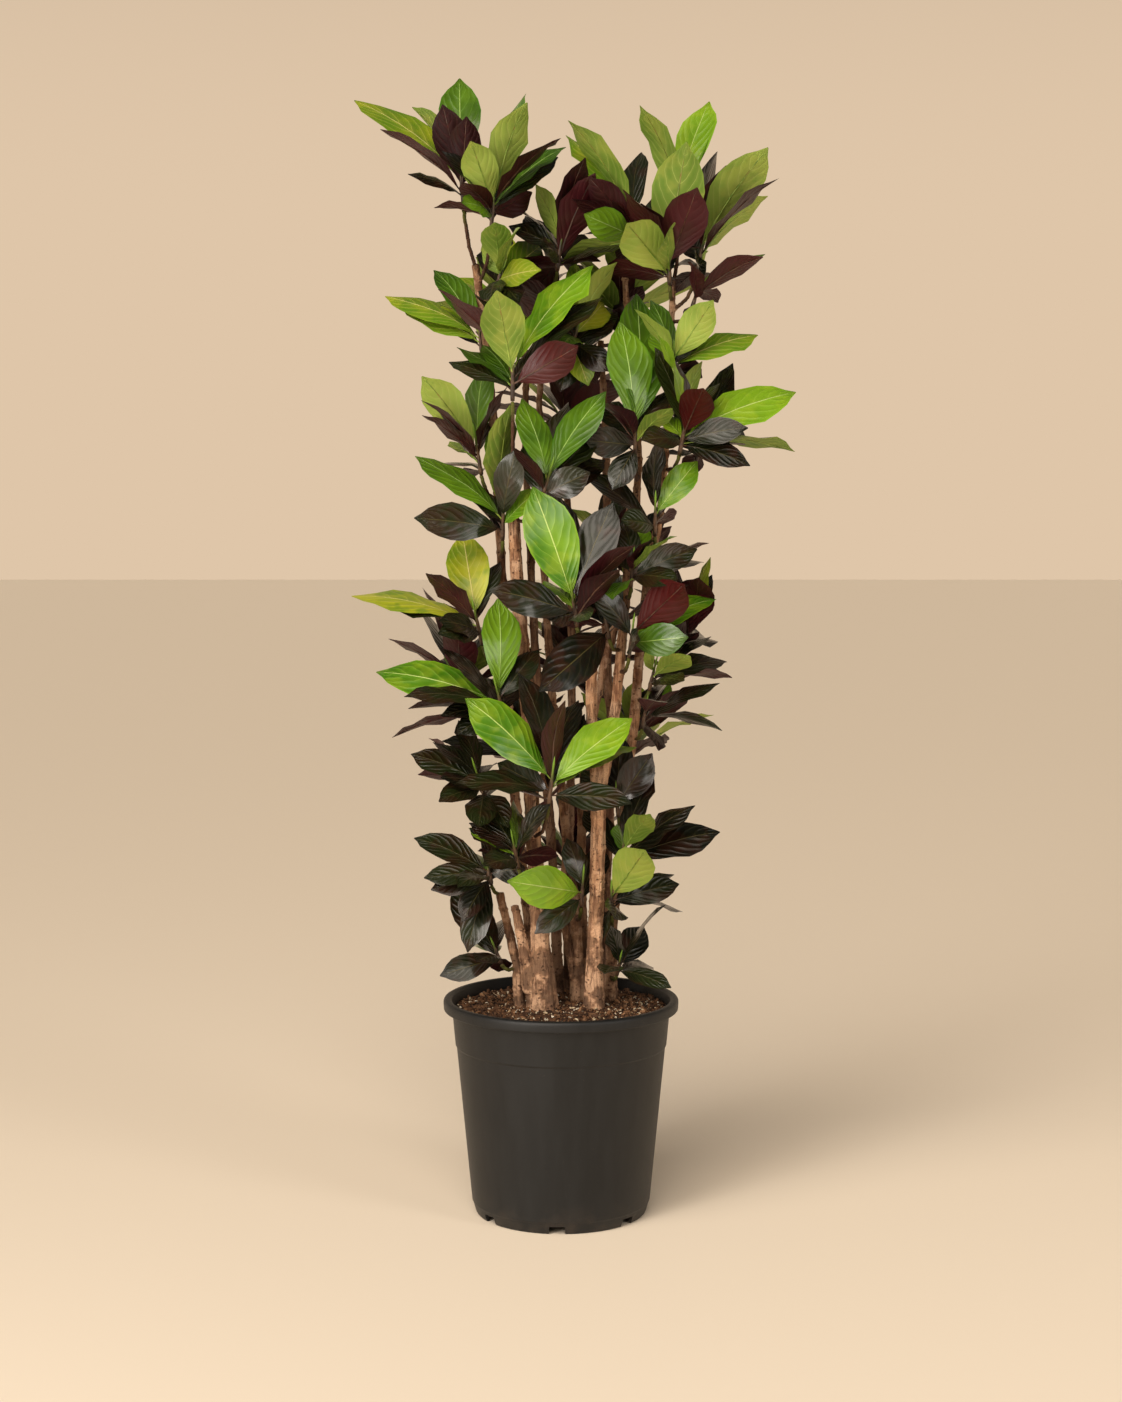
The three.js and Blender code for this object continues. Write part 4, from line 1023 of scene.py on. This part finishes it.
def makeMix(surface, chip, pale):
    mix = added(
        "cylinder", vertices=mixShape["sides"], radius=mixShape["edge"], depth=mixShape["depth"],
        location=(0, 0, mixShape["level"] - mixShape["depth"] / 2),
    )
    settle()
    bpy.ops.object.mode_set(mode="EDIT")
    base = mixShape["level"] - mixShape["depth"]
    selectWhere(lambda place: place.z < base + 1e-4)
    narrower = (innerWall(base) - mixShape["clear"]) / mixShape["edge"]
    bpy.ops.transform.resize(value=(narrower, narrower, 1), center_override=(0, 0, base))
    bpy.ops.mesh.select_mode(type="FACE")
    bpy.ops.mesh.select_all(action="DESELECT")
    sheet = bmesh.from_edit_mesh(mix.data)
    for face in sheet.faces:
        face.select = face.normal.z > 0.9
    bmesh.update_edit_mesh(mix.data)
    for _ in range(mixShape["rings"]):
        bpy.ops.mesh.inset(thickness=mixShape["edge"] / (mixShape["rings"] + 1.5))
    bpy.ops.mesh.poke()
    bpy.ops.mesh.select_mode(type="VERT")
    leaveEditing()
    for vertex in mix.data.vertices:
        x, y, z = vertex.co
        if z > mixShape["level"] - 1e-4:
            vertex.co.z = mixHeight(x, y)
    mix.data.materials.append(surface)
    draws = random.Random(chips["seed"])
    parts = [mix]
    for kind, shape in chipShapes.items():
        if kind == "bark":
            template = added("cube", size=2)
            applyModifier(template, "BEVEL", width=chips["bevel"], segments=1)
        else:
            template = added("ico_sphere", subdivisions=1, radius=1)
        corners = [vertex.co.copy() for vertex in template.data.vertices]
        faces = [tuple(polygon.vertices) for polygon in template.data.polygons]
        points, polygons, seeds = [], [], []
        for _ in range(shape["count"]):
            far = mixShape["edge"] * math.sqrt(draws.random()) * chips["within"]
            angle = draws.uniform(0, 2 * math.pi)
            x, y = far * math.cos(angle), far * math.sin(angle)
            size = between(*shape["size"], draws.random() ** 2)
            turn = Matrix.Rotation(draws.uniform(0, 2 * math.pi), 3, "Z")
            for axis in ("X", "Y"):
                turn = turn @ Matrix.Rotation(draws.gauss(0, chips["tilt"]), 3, axis)
            spot = Vector((x, y, mixHeight(x, y) + size * shape["flat"] * chips["raised"]))
            first = len(points)
            for corner in corners:
                bend = noise.noise(corner * chips["bentScale"] + Vector((first * 0.37, 0, 0)))
                bent = corner * (1 + chips["bent"] * bend)
                wide, flat = size * shape["wide"], size * shape["flat"]
                points.append(spot + turn @ (Vector((bent.x * size, bent.y * wide, bent.z * flat)) * 0.5))
            polygons.extend(tuple(first + i for i in face) for face in faces)
            seeds.extend([draws.random()] * len(faces))
        bpy.data.objects.remove(template)
        mesh = bpy.data.meshes.new(kind)
        mesh.from_pydata(points, [], polygons)
        setValues(mesh, "seed", seeds)
        mesh.materials.append(pale if kind == "pale" else chip)
        parts.append(linked(kind, mesh))
    mix = joined("potting_mix", parts)
    shadeSmooth(mix, mixShape["smooth"])
    finishPiece(mix, "soil")
    print("potting mix made")


mixLook = {
    "deep": "#20130b", "bright": "#5a3c28", "clumpScale": 160, "specular": 0.25, "rough": 0.85,
    "clumpRough": 0.1, "relief": 0.003,
}
chipLook = {
    "barkChips": ["#2b1b10", "#553720", "#775337", "#3b2618", "#98704f"],
    "paleChips": ["#a58a68", "#cdbb9c", "#e2d8c4", "#b7946a"],
    "grain": ("#24160d", 0.4), "grainScale": 500, "specular": 0.3, "rough": 0.75, "grainRough": 0.2,
    "relief": 0.0007,
}


def mixFinish():
    look = mixLook
    finish = Finish("pottingMix", {"Specular IOR Level": look["specular"]})
    clumps = finish.noise(finish.place(), look["clumpScale"], detail=6, roughness=0.7)
    colour = finish.mixed(clumps.eased(0.35, 0.7), tint(look["deep"]), tint(look["bright"]))
    finish.shade("Base Color", colour)
    finish.shade("Roughness", look["rough"] + clumps * look["clumpRough"])
    finish.bump(clumps, look["relief"])
    return finish.material


def chipFinish(name):
    look = chipLook
    finish = Finish(name, {"Specular IOR Level": look["specular"]})
    seed = finish.attribute("seed")
    colours = look[name]
    stops = [(i / (len(colours) - 1), tint(colour)) for i, colour in enumerate(colours)]
    colour = finish.node("ShaderNodeValToRGB", {"stops": stops}, {0: seed})
    grain = finish.noise(finish.place(), look["grainScale"], detail=4, roughness=0.65)
    finish.shade("Base Color", finish.over(colour, grain.eased(0.4, 0.7), look["grain"]))
    finish.shade("Roughness", look["rough"] + grain * look["grainRough"])
    finish.bump(grain, look["relief"])
    return finish.material


# Lamps are placed in metres, with their power in watts; the sun's angle is in degrees.
studio = {
    "floor": "#f0e2ce", "floorSize": 60, "floorRough": 0.75, "floorSpecular": 0.2, "aim": (0, 0, 0.8),
    "wall": "#dfc6a9", "wallEnds": (-0.5, 0.3), "room": "#9a9289", "zenith": "#3c3a38",
    "zenithEnds": (0.12, 0.7), "strength": 1.0,
}
lamps = {
    "sun": {"kind": "SUN", "place": (-1.1, -2.6, 3.5), "angle": 56, "power": 2.7, "colour": "#fff2e2"},
    "key": {"kind": "AREA", "place": (-1.9, -2.7, 1.6), "size": (1.0, 2.4), "power": 50},
    "glint": {"kind": "AREA", "place": (-1.7, -2.0, 0.45), "size": (0.3, 0.8), "power": 10},
    "fill": {"kind": "AREA", "place": (2.4, -2.0, 1.5), "size": (0.8, 1.8), "power": 26},
}
lampColour = "#fff8f0"


def addStage():
    floor = added("plane", size=studio["floorSize"])
    floor.name = "floor"
    finish = Finish("floorPaint", {
        "Roughness": studio["floorRough"], "Specular IOR Level": studio["floorSpecular"],
        "Base Color": tint(studio["floor"]),
    })
    floor.data.materials.append(finish.material)
    world = bpy.data.worlds.new("studio")
    bpy.context.scene.world = world
    world.use_nodes = True
    tree = world.node_tree  # a bright wall behind the plant, a dimmer room in front of it, a dark ceiling
    background = tree.nodes["Background"]
    background.inputs["Strength"].default_value = studio["strength"]
    way = tree.nodes.new("ShaderNodeTexCoord")
    parts = tree.nodes.new("ShaderNodeSeparateXYZ")
    tree.links.new(way.outputs["Generated"], parts.inputs[0])
    colour = tint(studio["room"])
    for axis, name in (("Y", "wall"), ("Z", "zenith")):
        share = tree.nodes.new("ShaderNodeMapRange")
        share.interpolation_type = "SMOOTHSTEP"
        tree.links.new(parts.outputs[axis], share.inputs["Value"])
        for key, end in zip(("From Min", "From Max"), studio[name + "Ends"]):
            share.inputs[key].default_value = end
        blend = tree.nodes.new("ShaderNodeMix")
        blend.data_type = "RGBA"
        tree.links.new(share.outputs["Result"], blend.inputs["Factor"])
        if name == "wall":
            blend.inputs[6].default_value = colour
        else:
            tree.links.new(colour, blend.inputs[6])
        blend.inputs[7].default_value = tint(studio[name])
        colour = blend.outputs[2]
    tree.links.new(colour, background.inputs["Color"])
    for name, lamp in lamps.items():
        bpy.ops.object.light_add(type=lamp["kind"], location=lamp["place"])
        light = bpy.context.object
        light.name = name + "Light"
        aim = Vector(studio["aim"]) - light.location
        light.rotation_euler = aim.to_track_quat("-Z", "Y").to_euler()
        if lamp["kind"] == "SUN":
            light.data.angle = math.radians(lamp["angle"])
        else:
            light.data.shape = "RECTANGLE"
            light.data.size, light.data.size_y = lamp["size"]
        light.data.energy = lamp["power"]
        light.data.color = tint(lamp.get("colour", lampColour))[:3]


def addCamera():
    bpy.ops.object.camera_add(
        location=frontView["eye"], rotation=(math.radians(90 - frontView["pitch"]), 0, 0)
    )
    camera = bpy.context.object
    camera.data.sensor_fit = "VERTICAL"
    camera.data.sensor_height = frontView["sensor"]
    camera.data.lens = camera.data.sensor_height * frontView["focal"] / frontView["height"]
    camera.data.clip_end = frontView["farthest"]
    bpy.context.scene.camera = camera


addCamera()
addStage()
bpy.context.scene.view_settings.view_transform = "Standard"

leafFinishes = {name: leafFinish(name, look) for name, look in {**uppers, **lowers}.items()}
leafFinishes.update({name: stalkFinish(name, look) for name, look in stalks.items()})
shootFeet = makeSprays(leafFinishes)
bark = barkFinish()
for stemName in sorted(name for name, slot in slots.items() if slot == "bark"):
    makeStem(stemName, shootFeet).data.materials.append(bark)
print("stems made")
makePot(potFinish())
makeMix(mixFinish(), chipFinish("barkChips"), chipFinish("paleChips"))
